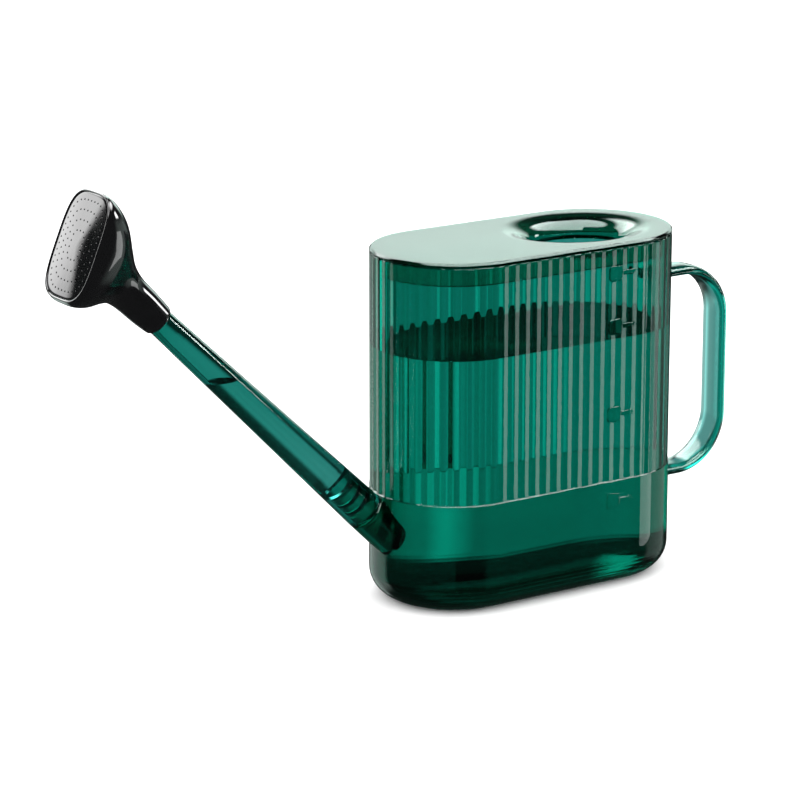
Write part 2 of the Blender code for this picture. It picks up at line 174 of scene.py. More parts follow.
def braced(rows: np.ndarray, near: float, loop: bool) -> np.ndarray:
    """Adds rows close to both ends of every long stretch, so that flat faces shade flat.

    On a stretch from a to b of length d, the new rows are a + (b - a) near / d and
    b - (b - a) near / d. Stretches shorter than five times near stay as they are.

    Args:
        rows: Rows of a profile; the first two values are its coordinates.
        near: Distance of the new rows from the ends.
        loop: Whether the last row joins the first.

    Returns:
        The rows with the new ones among them.
    """
    first = rows if loop else rows[:-1]
    step = (np.roll(rows, -1, axis=0) if loop else rows[1:]) - first
    length = np.maximum(np.linalg.norm(step[:, :2], axis=1, keepdims=True), 1e-9)
    share = np.minimum(near / length, 0.5)
    all_rows = np.stack((first, first + share * step, first + (1 - share) * step), axis=1)
    long = (length > 5 * near)[:, 0]
    keep = np.stack((np.ones_like(long), long, long), axis=1)
    found = all_rows[keep]
    return found if loop else np.concatenate((found, rows[-1:]))


def joined(name: str, parts: list[bpy.types.Object]) -> bpy.types.Object:
    """Puts several closed meshes into one mesh.

    Args:
        name: Name of the joined object.
        parts: Objects at the origin, which are removed.

    Returns:
        The joined object.
    """
    points, loops, sizes = [], [], []
    base = 0
    for part in parts:
        mesh = part.data
        co = np.empty(len(mesh.vertices) * 3, np.float32)
        mesh.vertices.foreach_get("co", co)
        corner = np.empty(len(mesh.loops), np.int32)
        mesh.loops.foreach_get("vertex_index", corner)
        size = np.empty(len(mesh.polygons), np.int32)
        mesh.polygons.foreach_get("loop_total", size)
        points.append(co.reshape(-1, 3))
        loops.append(corner + base)
        sizes.append(size)
        base += len(mesh.vertices)
        bpy.data.objects.remove(part)
    size = np.concatenate(sizes)
    starts = np.concatenate(((0,), np.cumsum(size)[:-1]))
    return object_from_loops(name, np.concatenate(points), np.concatenate(loops), starts, size, 35.0)


def cut_and_apply(target: bpy.types.Object, tools: list[tuple[bpy.types.Object, str]]) -> None:
    """Applies Boolean operations to a piece and removes the tools.

    Args:
        target: The piece, whose mesh is replaced by the result.
        tools: Pairs of a closed tool and "UNION" or "DIFFERENCE".
    """
    for tool, operation in tools:
        modifier = target.modifiers.new(tool.name, "BOOLEAN")
        modifier.operation = operation
        modifier.object = tool
        modifier.solver = "EXACT"
    graph = bpy.context.evaluated_depsgraph_get()
    result = bpy.data.meshes.new_from_object(target.evaluated_get(graph))
    target.modifiers.clear()
    target.data = result
    result.shade_smooth()
    result.set_sharp_from_angle(angle=math.radians(30.0))
    for tool, _ in tools:
        bpy.data.objects.remove(tool)


def dress(piece: bpy.types.Object, body: str, slot: str, finish: "Finish", *nodes: str) -> None:
    """Gives a piece its finish and its body, and hides the CAD nodes that it stands for.

    Args:
        piece: The finished piece.
        body: CAD body that it moves with.
        slot: Material slot of the record; not used.
        finish: Its finish.
        nodes: CAD nodes that it replaces.
    """
    piece.data.materials.clear()
    piece.data.materials.append(finish.material())
    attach(piece, body)
    if nodes:
        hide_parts(*nodes)
    LOG.info("%s: %d faces, on %s", piece.name, len(piece.data.polygons), body)


# ---------------------------------------------------------------------------------------
# Finishes


class Nodes:
    """Builds a node tree, one short call a node."""

    def __init__(self, tree: bpy.types.NodeTree) -> None:
        """Clears the node tree that the calls then fill."""
        self.tree = tree
        tree.nodes.clear()

    def add(self, kind: str, **inputs: object) -> bpy.types.Node:
        """Adds a node and sets its inputs.

        Args:
            kind: Node type, without the leading "ShaderNode".
            inputs: Values or output sockets by input name, with _ for a space; in0, in1 and
                so on address inputs by number, and props set the node's own settings.

        Returns:
            The new node.
        """
        node = self.tree.nodes.new("ShaderNode" + kind)
        for key, value in inputs.pop("props", {}).items():
            setattr(node, key, value)
        for key, value in inputs.items():
            numbered = key.startswith("in") and key[2:].isdigit()
            socket = node.inputs[int(key[2:])] if numbered else node.inputs[key.replace("_", " ")]
            if isinstance(value, bpy.types.NodeSocket):
                self.tree.links.new(value, socket)
            else:
                socket.default_value = value
        return node

    def math(self, operation: str, *values: object, clamp: bool = False) -> bpy.types.NodeSocket:
        """A Math node of the given operation and values, clamped or not; gives its output."""
        inputs = {f"in{i}": value for i, value in enumerate(values)}
        return self.add("Math", props={"operation": operation, "use_clamp": clamp}, **inputs).outputs[0]

    def ramp(
        self, value: object, low: float, high: float, to_low: float, to_high: float
    ) -> bpy.types.NodeSocket:
        """A smooth step from one range to another.

        Args:
            value: Value or socket to map.
            low: Where the step starts.
            high: Where the step ends.
            to_low: Result at and below low.
            to_high: Result at and above high.

        Returns:
            The output socket.
        """
        node = self.add(
            "MapRange", props={"interpolation_type": "SMOOTHSTEP"},
            in0=value, in1=low, in2=high, in3=to_low, in4=to_high,
        )
        return node.outputs[0]

    def blend(self, share: object, first: object, second: object) -> bpy.types.NodeSocket:
        """A mix of two colours.

        Args:
            share: How much of the second colour, from 0 to 1.
            first: Colour or socket.
            second: Colour or socket.

        Returns:
            The output socket.
        """
        node = self.add("Mix", props={"data_type": "RGBA"})
        for socket, value in ((node.inputs[0], share), (node.inputs[6], first), (node.inputs[7], second)):
            if isinstance(value, bpy.types.NodeSocket):
                self.tree.links.new(value, socket)
            else:
                socket.default_value = value
        return node.outputs[2]


@dataclass(frozen=True)
class Finish:
    """A named finish. Subclasses fill its node tree."""

    name: str

    def material(self) -> bpy.types.Material:
        """The material of this finish, made once.

        Returns:
            The material.
        """
        found = bpy.data.materials.get(self.name)
        if found:
            return found
        made = bpy.data.materials.new(self.name)
        made.use_nodes = True
        self.fill(Nodes(made.node_tree))
        return made

    def fill(self, nodes: Nodes) -> None:
        """Fills the node tree through its builder."""
        raise NotImplementedError


@dataclass(frozen=True)
class ClearPlastic(Finish):
    """Polished see-through plastic, coloured in its depth.

    Light loses exp(-density x (1 - colour) x distance) of each primary inside it, so thick
    places and edges are darker. Faint flow marks of the moulding vary the gloss.
    """

    depth_colour: tuple[float, float, float] = (0.0, 0.83, 0.772)
    density: float = 1100.0
    surface: tuple[float, float, float] = (0.93, 1.0, 0.985)
    reflection: tuple[float, float, float] = (0.8, 1.0, 0.93)
    gloss_low: float = 0.006
    gloss_high: float = 0.022
    ior: float = 1.49
    satin_above: float = 10.0
    satin: float = 0.0

    def fill(self, nodes: Nodes) -> None:
        """Fills the node tree.

        Args:
            nodes: Builder of the tree.
        """
        place = nodes.add("TexCoord").outputs["Object"]
        stretched = nodes.add("Mapping", Vector=place, Scale=(1.0, 1.0, 0.35)).outputs[0]
        flow = nodes.add("TexNoise", Vector=stretched, Scale=45.0, Detail=3.0, Roughness=0.55)
        flow_value = flow.outputs[0]
        gloss = nodes.ramp(flow_value, 0.35, 0.65, self.gloss_low, self.gloss_high)
        if self.satin > 0:
            height = nodes.add("SeparateXYZ", Vector=place).outputs["Z"]
            grain = nodes.add("TexNoise", Vector=place, Scale=2600.0, Detail=1.0).outputs[0]
            frosted = nodes.ramp(grain, 0.2, 0.8, self.satin * 0.85, self.satin * 1.15)
            above = nodes.ramp(height, self.satin_above, self.satin_above + 0.25 * MM, 0.0, 1.0)
            extra = nodes.math("MULTIPLY", above, frosted)
            gloss = nodes.math("ADD", gloss, extra)
        paler = tuple(min(1.0, v * 1.02 + 0.01) for v in self.surface)
        tint = nodes.blend(flow_value, (*self.surface, 1.0), (*paler, 1.0))
        ripple = nodes.add("TexNoise", Vector=stretched, Scale=18.0, Detail=1.0).outputs[0]
        bump = nodes.add("Bump", Strength=0.004, Distance=0.4 * MM, Height=ripple).outputs[0]
        shader = nodes.add(
            "BsdfPrincipled", Base_Color=tint, Roughness=gloss, IOR=self.ior, Normal=bump,
            Transmission_Weight=1.0, Specular_Tint=(*self.reflection, 1.0),
        )
        depth = nodes.add("VolumeAbsorption", Color=(*self.depth_colour, 1.0), Density=self.density)
        nodes.add("OutputMaterial", Surface=shader.outputs[0], Volume=depth.outputs[0])


@dataclass(frozen=True)
class BlackPlastic(Finish):
    """Polished black plastic with a faint orange peel and a few dull smears."""

    colour: tuple[float, float, float] = (0.002, 0.002, 0.0022)
    gloss_low: float = 0.05
    gloss_high: float = 0.13

    def fill(self, nodes: Nodes) -> None:
        """Fills the node tree.

        Args:
            nodes: Builder of the tree.
        """
        place = nodes.add("TexCoord").outputs["Object"]
        smear = nodes.add("TexNoise", Vector=place, Scale=60.0, Detail=4.0, Roughness=0.6).outputs[0]
        gloss = nodes.ramp(smear, 0.45, 0.75, self.gloss_low, self.gloss_high)
        worn = tuple(v * 1.9 for v in self.colour)
        tint = nodes.blend(smear, (*self.colour, 1.0), (*worn, 1.0))
        peel = nodes.add("TexNoise", Vector=place, Scale=420.0, Detail=1.0).outputs[0]
        bump = nodes.add("Bump", Strength=0.035, Distance=0.2 * MM, Height=peel).outputs[0]
        shader = nodes.add(
            "BsdfPrincipled", Base_Color=tint, Roughness=gloss, IOR=1.52, Normal=bump,
            Coat_Weight=0.4, Coat_Roughness=0.03,
        )
        nodes.add("OutputMaterial", Surface=shader.outputs[0])


@dataclass(frozen=True)
class SealRubber(Finish):
    """Matte black rubber with a fine grain."""

    colour: tuple[float, float, float] = (0.012, 0.013, 0.014)

    def fill(self, nodes: Nodes) -> None:
        """Fills the node tree.

        Args:
            nodes: Builder of the tree.
        """
        place = nodes.add("TexCoord").outputs["Object"]
        grain = nodes.add("TexNoise", Vector=place, Scale=1500.0, Detail=3.0).outputs[0]
        gloss = nodes.ramp(grain, 0.3, 0.7, 0.5, 0.7)
        dusty = tuple(v * 2.2 for v in self.colour)
        tint = nodes.blend(grain, (*self.colour, 1.0), (*dusty, 1.0))
        bump = nodes.add("Bump", Strength=0.15, Distance=0.1 * MM, Height=grain).outputs[0]
        shader = nodes.add("BsdfPrincipled", Base_Color=tint, Roughness=gloss, Normal=bump)
        nodes.add("OutputMaterial", Surface=shader.outputs[0])


@dataclass(frozen=True)
class Water(Finish):
    """Clear water."""

    def fill(self, nodes: Nodes) -> None:
        """Fills the node tree.

        Args:
            nodes: Builder of the tree.
        """
        shader = nodes.add(
            "BsdfPrincipled", Base_Color=(1.0, 1.0, 1.0, 1.0), Roughness=0.0, IOR=1.333,
            Transmission_Weight=1.0,
        )
        nodes.add("OutputMaterial", Surface=shader.outputs[0])


@dataclass(frozen=True)
class FloorPaint(Finish):
    """Plain matte white."""

    def fill(self, nodes: Nodes) -> None:
        """Fills the node tree.

        Args:
            nodes: Builder of the tree.
        """
        shader = nodes.add("BsdfDiffuse", Color=(0.96, 0.96, 0.96, 1.0))
        nodes.add("OutputMaterial", Surface=shader.outputs[0])


GREEN = ClearPlastic("moulded_clear_green")
HANDLE_GREEN = ClearPlastic("moulded_handle_green", density=230.0)
SPOUT_GREEN = ClearPlastic("moulded_spout_green", density=760.0)
BLACK = BlackPlastic("moulded_black")
RUBBER = SealRubber("matte_rubber")


# ---------------------------------------------------------------------------------------
# The can


@dataclass(frozen=True)
class Outline:
    """The can's outline: a rectangle with round ends, measured along its perimeter.

    Distance 0 is the middle of the front side, and it grows towards +X.
    """

    length: float = 165.3 * MM
    width: float = 83.0 * MM

    @property
    def radius(self) -> float:
        """Radius of the round ends."""
        return self.width / 2

    @property
    def half_straight(self) -> float:
        """Half the length of the straight sides."""
        return self.length / 2 - self.radius

    @property
    def perimeter(self) -> float:
        """Length all the way round."""
        return math.tau * self.radius + 4 * self.half_straight

    def at(self, along: np.ndarray) -> tuple[np.ndarray, np.ndarray]:
        """Points and outward normals of the outline.

        On a straight side the point slides with the distance; on a round end it turns by
        distance over radius. The second half of the way round is the first, turned by half
        a turn.

        Args:
            along: Distances along the outline.

        Returns:
            Points and unit normals, each n x 2.
        """
        straight = 2 * self.half_straight
        half_way = self.perimeter / 2
        shifted = np.mod(along + self.half_straight, self.perimeter)
        sign = np.where(shifted >= half_way, -1.0, 1.0)[..., None]
        part = np.mod(shifted, half_way)
        turn = np.clip((part - straight) / self.radius, 0.0, math.pi)
        slide = np.minimum(part, straight) - self.half_straight
        normal = np.stack((np.sin(turn), -np.cos(turn)), axis=-1)
        centre = np.stack((slide, np.zeros_like(slide)), axis=-1)
        return sign * (centre + self.radius * normal), sign * normal


@dataclass
class Can:
    """The can: a smooth cup below, ribbed above, with a spout boss and level marks."""

    outline: Outline = field(default_factory=Outline)
    height: float = 174.1 * MM
    wall: float = 3.0 * MM
    floor: float = 3.0 * MM
    base_round: float = 14.5 * MM
    rib_start: float = 56.0 * MM
    rib_pitch: float = 6.45 * MM
    rib_set: float = 0.3 * MM
    rib_depth: float = 0.5 * MM
    rib_flatness: float = 0.994
    rib_step: float = 0.45 * MM
    rim_round: float = 0.6 * MM
    columns_per_rib: int = 16
    round_rows: int = 12
    boss_radius: float = 9.9 * MM
    boss_out: float = 15.0 * MM
    boss_in: float = 9.5 * MM
    bore_radius: float = 7.15 * MM
    level_heights: tuple[float, ...] = (46.0 * MM, 90.4 * MM, 134.9 * MM, 161.7 * MM)
    level_x: float = 26.8 * MM
    badge: tuple[float, float] = (8.4 * MM, 7.9 * MM)
    dash: tuple[float, float] = (8.0 * MM, 2.5 * MM)
    mark_round: float = 2.0 * MM
    mark_rise: float = 0.29 * MM
    mark_line: float = 0.9 * MM
    mark_edge: float = 0.42 * MM

    def rib_count(self) -> int:
        """Whole number of ribs round the can."""
        return 2 * round(self.outline.perimeter / self.rib_pitch / 2)

    def section(self) -> np.ndarray:
        """Profile of the wall as rows of height, inset and share of rib depth.

        The bottom edge outside and inside is a quarter circle: the inset falls as
        1 - sin(angle) while the height grows as 1 - cos(angle).

        Returns:
            Rows of (height, inset, rib share), from the middle of the base outside, up,
            over the rim and down to the floor inside.
        """
        angle = np.linspace(0.0, math.pi / 2, self.round_rows)
        outer_round = np.column_stack((
            self.base_round * (1 - np.cos(angle)),
            self.base_round * (1 - np.sin(angle)),
            np.zeros_like(angle),
        ))
        step = np.linspace(0.0, 1.0, 5)
        ease = step * step * (3 - 2 * step)
        start = np.column_stack((self.rib_start + step * self.rib_step, 0.0 * step, ease))
        lip = np.linspace(0.0, math.pi / 2, 4)
        lip_outer = np.column_stack((
            self.height - self.rim_round * (1 - np.sin(lip)),
            self.rim_round * (1 - np.cos(lip)),
            1.0 - 0.0 * lip,
        ))
        lip_inner = np.column_stack((
            self.height - self.rim_round * (1 - np.sin(lip[::-1])),
            self.wall - self.rim_round * (1 - np.cos(lip[::-1])),
            0.0 * lip,
        ))
        inner = self.base_round - self.wall
        back = angle[::-1]
        inner_round = np.column_stack((
            self.floor + inner * (1 - np.cos(back)),
            self.wall + inner * (1 - np.sin(back)),
            np.zeros_like(back),
        ))
        smooth = np.array(((self.rib_start * 0.6, 0.0, 0.0),))
        ribbed = np.array(((self.height * 0.5, 0.0, 1.0), (self.height * 0.8, 0.0, 1.0)))
        inside = np.array(((self.height * 0.6, self.wall, 0.0), (self.height * 0.3, self.wall, 0.0)))
        rows = np.concatenate((outer_round, smooth, start, ribbed, lip_outer, lip_inner, inside, inner_round))
        return braced(rows, 0.4 * MM, False)

    def wall_points(self, section: np.ndarray, columns: int, grow: float = 0.0) -> np.ndarray:
        """The can's wall as a grid of points.

        Each point lies on the outline, moved inwards along its normal by the row's inset
        plus the rib's own: set + depth x (1 - asin(f cos(a)) / asin(f)) / 2, where a is
        2 pi distance / pitch. It is a zigzag of flat facets with rounded ridges, whose
        facets that face +X are centred on whole pitches from the front's middle.

        Args:
            section: Rows of (height, inset, rib share).
            columns: Number of columns round the can.
            grow: Distance that every point is moved outwards.

        Returns:
            Points as rows x columns x 3.
        """
        along = np.arange(columns) * self.outline.perimeter / columns
        flat, normal = self.outline.at(along)
        pitch = self.outline.perimeter / self.rib_count()
        turn = math.tau * (along / pitch + 0.25)
        wave = (1 - np.arcsin(self.rib_flatness * np.cos(turn)) / math.asin(self.rib_flatness)) / 2
        rib_inset = self.rib_set + self.rib_depth * wave
        inset = section[:, 1:2] + section[:, 2:3] * rib_inset - grow
        plan = flat[None] - normal[None] * inset[..., None]
        height = np.broadcast_to(section[:, 0:1], inset.shape)
        return np.concatenate((plan, height[..., None]), axis=-1)

    def tile(self, name: str, x: float, z: float, size: tuple[float, float], depth: tuple[float, float],
             corner: float) -> bpy.types.Object:
        """A tile with round corners, standing off the front wall.

        Its outline is made of quarter circles of the corner radius about four centres. Its
        front edge is a quarter circle too: the inset grows as 1 - cos while the height
        grows as sin.

        Args:
            name: Name of the tile.
            x: Middle in X.
            z: Middle in Z.
            size: Width and height.
            depth: Y of its back and of its front face.
            corner: Radius of its corners.

        Returns:
            The tile.
        """
        quarter = np.linspace(0.0, math.pi / 2, 6)
        angle = np.concatenate([quarter + k * math.pi / 2 for k in range(4)])
        side_x = np.repeat((1.0, -1.0, -1.0, 1.0), len(quarter))
        side_z = np.repeat((1.0, 1.0, -1.0, -1.0), len(quarter))
        edge = self.mark_edge
        fold = np.linspace(0.0, math.pi / 2, 6)
        rows = []
        folded = zip(depth[1] + 1.5 * edge * (1 - np.sin(fold)), edge * (1 - np.cos(fold)))
        for y, inset in ((depth[0], 0.0), *folded):
            reach = corner - inset
            px = x + side_x * (size[0] / 2 - corner) + reach * np.cos(angle)
            pz = z + side_z * (size[1] / 2 - corner) + reach * np.sin(angle)
            rows.append(np.column_stack((px, np.full_like(px, y), pz)))
        return skin(name, np.stack(rows), Ends.CAPPED)

    def marks(self) -> list[tuple[bpy.types.Object, str]]:
        """The level marks: tiles and dashes to add, and hollows that leave a line round them.

        Returns:
            The tools and their operations.
        """
        front = -self.outline.radius - self.mark_rise
        root = -self.outline.radius + 1.5 * MM
        add, dashes, cut = [], [], []
        for number, z in enumerate(self.level_heights):
            badge = self.tile(f"badge{number}", self.level_x, z, self.badge, (root, front), self.mark_round)
            add.append(badge)
            dash_x = self.level_x + self.badge[0] / 2 + self.dash[0] / 2 - 0.3 * MM
            deep = (root + 0.02 * MM, front + 0.02 * MM)
            dashes.append(self.tile(f"dash{number}", dash_x, z, self.dash, deep, 1.2 * MM))
            inner = (self.badge[0] - 2 * self.mark_line, self.badge[1] - 2 * self.mark_line)
            hollow_front = front - 1.0 * MM
            hollow_root = front + 0.3 * MM
            span = (hollow_root, hollow_front)
            cut.append(self.tile(f"hollow{number}", self.level_x, z, inner, span, 1.3 * MM))
        return [
            (joined("badges", add), "UNION"),
            (joined("dashes", dashes), "UNION"),
            (joined("hollows", cut), "DIFFERENCE"),
        ]

    def build(self, spout: "SpoutLine") -> bpy.types.Object:
        """Builds the can.

        Args:
            spout: Axis of the spout, which places the boss.

        Returns:
            The can.
        """
        columns = self.rib_count() * self.columns_per_rib
        can = skin("can_moulded", self.wall_points(self.section(), columns), Ends.CAPPED, 30.0)
        boss_rows = np.array(((-self.boss_out - self.boss_in, self.boss_radius - 0.5 * MM),
                              (-self.boss_out - self.boss_in + 0.5 * MM, self.boss_radius),
                              (-0.3 * MM, self.boss_radius),
                              (0.0, self.boss_radius - 0.3 * MM)))
        boss = skin("boss", spout.turned(boss_rows, 96), Ends.CAPPED)
        bore_rows = np.array(((-60.0 * MM, self.bore_radius), (10.0 * MM, self.bore_radius)))
        bore = skin("bore", spout.turned(bore_rows, 72), Ends.CAPPED)
        cut_and_apply(can, [(boss, "UNION"), (bore, "DIFFERENCE"), *self.marks()])
        return can


# ---------------------------------------------------------------------------------------
# The lid


@dataclass
class Lid:
    """The lid: a flat plate with a rolled edge, a skirt and a bell-mouthed filler dish."""

    can: Can
    gap: float = 0.3 * MM
    thickness: float = 2.0 * MM
    edge_round: float = 1.0 * MM
    skirt_gap: float = 0.5 * MM
    skirt_depth: float = 9.6 * MM
    skirt_thickness: float = 2.0 * MM
    dish_margin: float = 1.2 * MM
    dish_roundness: float = 1.2
    dish_end_margin: float = 2.4 * MM
    dish_depth: float = 8.6 * MM
    throat_share: float = 0.60
    columns: int = 400
    dish_rows: int = 26

    def top(self) -> float:
        """Height of the lid's flat top."""
        return self.can.height + self.gap + self.thickness

    def skirt_inset(self) -> float:
        """Distance of the skirt's outside from the outline."""
        return self.can.wall + self.skirt_gap

    def dish_half(self) -> np.ndarray:
        """Half length and half width of the dish's rim."""
        half_width = self.can.outline.radius - self.skirt_inset() - self.skirt_thickness - self.dish_margin
        return np.array((half_width * self.dish_roundness, half_width))

    def dish_centre(self) -> np.ndarray:
        """Middle of the dish in plan."""
        skirt_end = self.can.outline.length / 2 - self.skirt_inset() - self.skirt_thickness
        return np.array((skirt_end - self.dish_end_margin - self.dish_half()[0], 0.0))

    def outline_rows(self, rows: np.ndarray) -> np.ndarray:
        """Rows on the can's outline.

        Args:
            rows: Rows of (height, inset).

        Returns:
            Points as rows x columns x 3.
        """
        along = np.arange(self.columns) * self.can.outline.perimeter / self.columns
        flat, normal = self.can.outline.at(along)
        plan = flat[None] - normal[None] * rows[:, 1, None, None]
        height = np.broadcast_to(rows[:, 0, None, None], plan.shape[:2] + (1,))
        return np.concatenate((plan, height), axis=-1)

    def dish_rows_at(self, rows: np.ndarray) -> np.ndarray:
        """Rows on ovals about the dish's centre.

        Column by column, the point lies where the line from the dish's centre to the
        outline's point crosses the oval of the row's share of the rim.

        Args:
            rows: Rows of (height, share).

        Returns:
            Points as rows x columns x 3.
        """
        along = np.arange(self.columns) * self.can.outline.perimeter / self.columns
        away = self.can.outline.at(along)[0] - self.dish_centre()
        reach = np.hypot(*(away / self.dish_half()).T)
        unit = away / reach[:, None]
        plan = self.dish_centre() + unit[None] * rows[:, 1, None, None]
        height = np.broadcast_to(rows[:, 0, None, None], plan.shape[:2] + (1,))
        return np.concatenate((plan, height), axis=-1)

    def build(self) -> bpy.types.Object:
        """Builds the lid.

        The dish's depth is 1 - sqrt(1 - q^2) of its full depth, where q runs from 0 at its
        rim to 1 at the throat: level at the rim and upright at the throat.

        Returns:
            The lid.
        """
        under = self.can.height + self.gap
        top = self.top()
        out = self.can.rib_set
        half_width = self.dish_half()[1]
        corners = [(under, out + self.edge_round), (under + 0.3 * MM, out), (top - self.edge_round, out)]
        corners += [(top, out + self.edge_round), (top, out + 8.0 * MM), (under, out + 8.0 * MM)]
        edge = braced(rounded(corners, 0.22 * MM), 0.12 * MM, True)
        edge = edge[edge[:, 1] < out + 7.0 * MM]
        edge = edge[np.argsort(np.arctan2(edge[:, 0] - (under + top) / 2, out + 7.0 * MM - edge[:, 1]))]
        q = np.sin(np.linspace(0.0, math.pi / 2, self.dish_rows))
        drop = self.dish_depth * (1 - np.sqrt(np.clip(1 - q * q, 0.0, 1.0)))
        share = 1 - q * (1 - self.throat_share)
        dish_top = np.column_stack((top - drop, share))
        slope = np.gradient(drop, share * half_width)
        tilt = np.arctan(-slope)
        tilt[-1] = math.pi / 2
        under_share = share + self.thickness * np.sin(tilt) / half_width
        under_drop = drop + self.thickness * np.cos(tilt)
        lip_angle = np.linspace(0.0, math.pi, 9)[1:-1]
        lip_centre = self.throat_share + self.thickness / 2 / half_width
        lip_z = top - self.dish_depth - 1.2 * MM
        lip = np.column_stack((
            lip_z - self.thickness / 2 * np.sin(lip_angle),
            lip_centre - self.thickness / 2 / half_width * np.cos(lip_angle),
        ))
        dish_under = np.column_stack((top - under_drop, np.minimum(under_share, 1.005)))[::-1]
        inner = self.skirt_inset() + self.skirt_thickness
        skirt_end = under - self.skirt_depth
        soft = 0.4 * MM
        skirt = np.array((
            (under, inner + 0.6 * MM), (under - 0.6 * MM, inner), (skirt_end + soft, inner),
            (skirt_end, inner - soft), (skirt_end, self.skirt_inset() + soft),
            (skirt_end + soft, self.skirt_inset()), (under - 0.3 * MM, self.skirt_inset()),
            (under, self.skirt_inset() - 0.3 * MM),
        ))
        skirt = braced(skirt, 0.3 * MM, False)
        grid = np.concatenate((
            self.outline_rows(edge), self.dish_rows_at(dish_top),
            self.dish_rows_at(lip), self.dish_rows_at(dish_under), self.outline_rows(skirt),
        ))
        return skin("lid_moulded", grid, Ends.LOOPED, 40.0)


# ---------------------------------------------------------------------------------------
# The handle


@dataclass
class Handle:
    """The C-shaped bar, its section a flattened oval, its ends cut to the can's round end."""

    can: Can
    top: float = 149.8 * MM
    bottom: float = 40.0 * MM
    reach: float = 42.4 * MM
    width: float = 16.6 * MM
    thickness: float = 5.2 * MM
    top_radius: float = 28.0 * MM
    bottom_radius: float = 30.0 * MM
    squareness: float = 2.8
    end_gap: float = 0.05 * MM

    def path(self) -> tuple[np.ndarray, np.ndarray]:
        """Centre line in X and Z, and the angle of its outward normal, from top to bottom.

        Two straight arms and two quarter circles, joined by a straight grip.

        Returns:
            Points n x 2 and angles n.
        """
        half = self.thickness / 2
        wall_x = self.can.outline.length / 2 - self.can.rib_set
        outer_x = wall_x + self.can.rib_set + self.reach
        arms = np.linspace(0.0, 1.0, 8)[:-1]
        turn = np.linspace(0.0, math.pi / 2, 28)
        top_centre = np.array((outer_x - self.top_radius, self.top - self.top_radius))
        low_centre = np.array((outer_x - self.bottom_radius, self.bottom + self.bottom_radius))
        top_angle = math.pi / 2 - turn
        low_angle = -turn
        top_way = np.column_stack((np.cos(top_angle), np.sin(top_angle)))
        low_way = np.column_stack((np.cos(low_angle), np.sin(low_angle)))
        top_arc = top_centre + (self.top_radius - half) * top_way
        low_arc = low_centre + (self.bottom_radius - half) * low_way
        start = np.array((wall_x, self.top - half))
        end = np.array((wall_x, self.bottom + half))
        upper = start + arms[:, None] * (top_arc[0] - start)
        lower = low_arc[-1] + (arms[1:, None]) * (end - low_arc[-1])
        grip = top_arc[-1] + np.linspace(0.0, 1.0, 10)[1:-1, None] * (low_arc[0] - top_arc[-1])
        points = np.concatenate((upper, top_arc, grip, low_arc, lower, end[None]))
        angles = np.concatenate((
            np.full(len(upper), math.pi / 2), top_angle, np.zeros(len(grip)), low_angle,
            np.full(len(lower) + 1, -math.pi / 2),
        ))
        return points, angles

    def build(self) -> bpy.types.Object:
        """Builds the handle.

        The section is a superellipse, |x/a|^n + |y/b|^n = 1, carried along the path with
        its short side on the path's normal.

        Returns:
            The handle.
        """
        points, angles = self.path()
        turn = np.arange(56) * math.tau / 56
        power = 2.0 / self.squareness
        thick = self.thickness / 2 * np.sign(np.cos(turn)) * np.abs(np.cos(turn)) ** power
        wide = self.width / 2 * np.sign(np.sin(turn)) * np.abs(np.sin(turn)) ** power
        x = points[:, 0, None] + np.cos(angles)[:, None] * thick
        z = points[:, 1, None] + np.sin(angles)[:, None] * thick
        y = np.broadcast_to(wide, x.shape)
        grid = np.stack((x, y, z), axis=-1)
        end_x = self.can.outline.half_straight + np.sqrt(self.can.outline.radius**2 - wide**2)
        grid[0, :, 0] = end_x + self.end_gap
        grid[-1, :, 0] = end_x + self.end_gap
        return skin("handle_moulded", grid, Ends.CAPPED, 50.0)


# ---------------------------------------------------------------------------------------
# The spout


@dataclass(frozen=True)
class SpoutLine:
    """The spout's axis: where it leaves the boss and the way it points."""

    seam: tuple[float, float, float]
    way: tuple[float, float, float]

    def frame(self) -> np.ndarray:
        """The spout's own frame.

        Returns:
            Unit vectors upwards-across, sideways and along the spout, as rows.
        """
        along = np.array(self.way)
        side = np.array((0.0, 1.0, 0.0))
        return np.stack((np.cross(side, along), side, along))

    def place(self, local: np.ndarray) -> np.ndarray:
        """Moves points from the spout's own frame to the part's."""
        return local @ self.frame() + np.array(self.seam)

    def turned(self, profile: np.ndarray, count: int) -> np.ndarray:
        """A turned surface about the axis: each profile point sweeps a circle of its radius.

        Args:
            profile: Rows of (distance along the axis, radius).
            count: Points in each circle.

        Returns:
            Points as rows x count x 3.
        """
        angle = np.arange(count) * math.tau / count
        x = profile[:, 1:2] * np.cos(angle)
        y = profile[:, 1:2] * np.sin(angle)
        z = np.broadcast_to(profile[:, 0:1], x.shape)
        return self.place(np.stack((x, y, z), axis=-1))


def rounded(profile: list[tuple[float, float]], radius: float, steps: int = 4) -> np.ndarray:
    """A closed profile with its corners rounded.

    Each corner is replaced by a quadratic curve between points at the radius's distance
    along its two sides, or less on a short side.

    Args:
        profile: Corner points of a closed loop.
        radius: Distance from each corner at which the curve starts.
        steps: Segments in each curve.

    Returns:
        The rounded loop.
    """
    corner = np.array(profile)
    before = np.roll(corner, 1, axis=0) - corner
    after = np.roll(corner, -1, axis=0) - corner
    before_length = np.linalg.norm(before, axis=1, keepdims=True)
    after_length = np.linalg.norm(after, axis=1, keepdims=True)
    start = corner + before / before_length * np.minimum(radius, before_length * 0.45)
    end = corner + after / after_length * np.minimum(radius, after_length * 0.45)
    t = np.linspace(0.0, 1.0, steps + 1)[None, :, None]
    curve = (1 - t) ** 2 * start[:, None] + 2 * t * (1 - t) * corner[:, None] + t**2 * end[:, None]
    return curve.reshape(-1, 2)


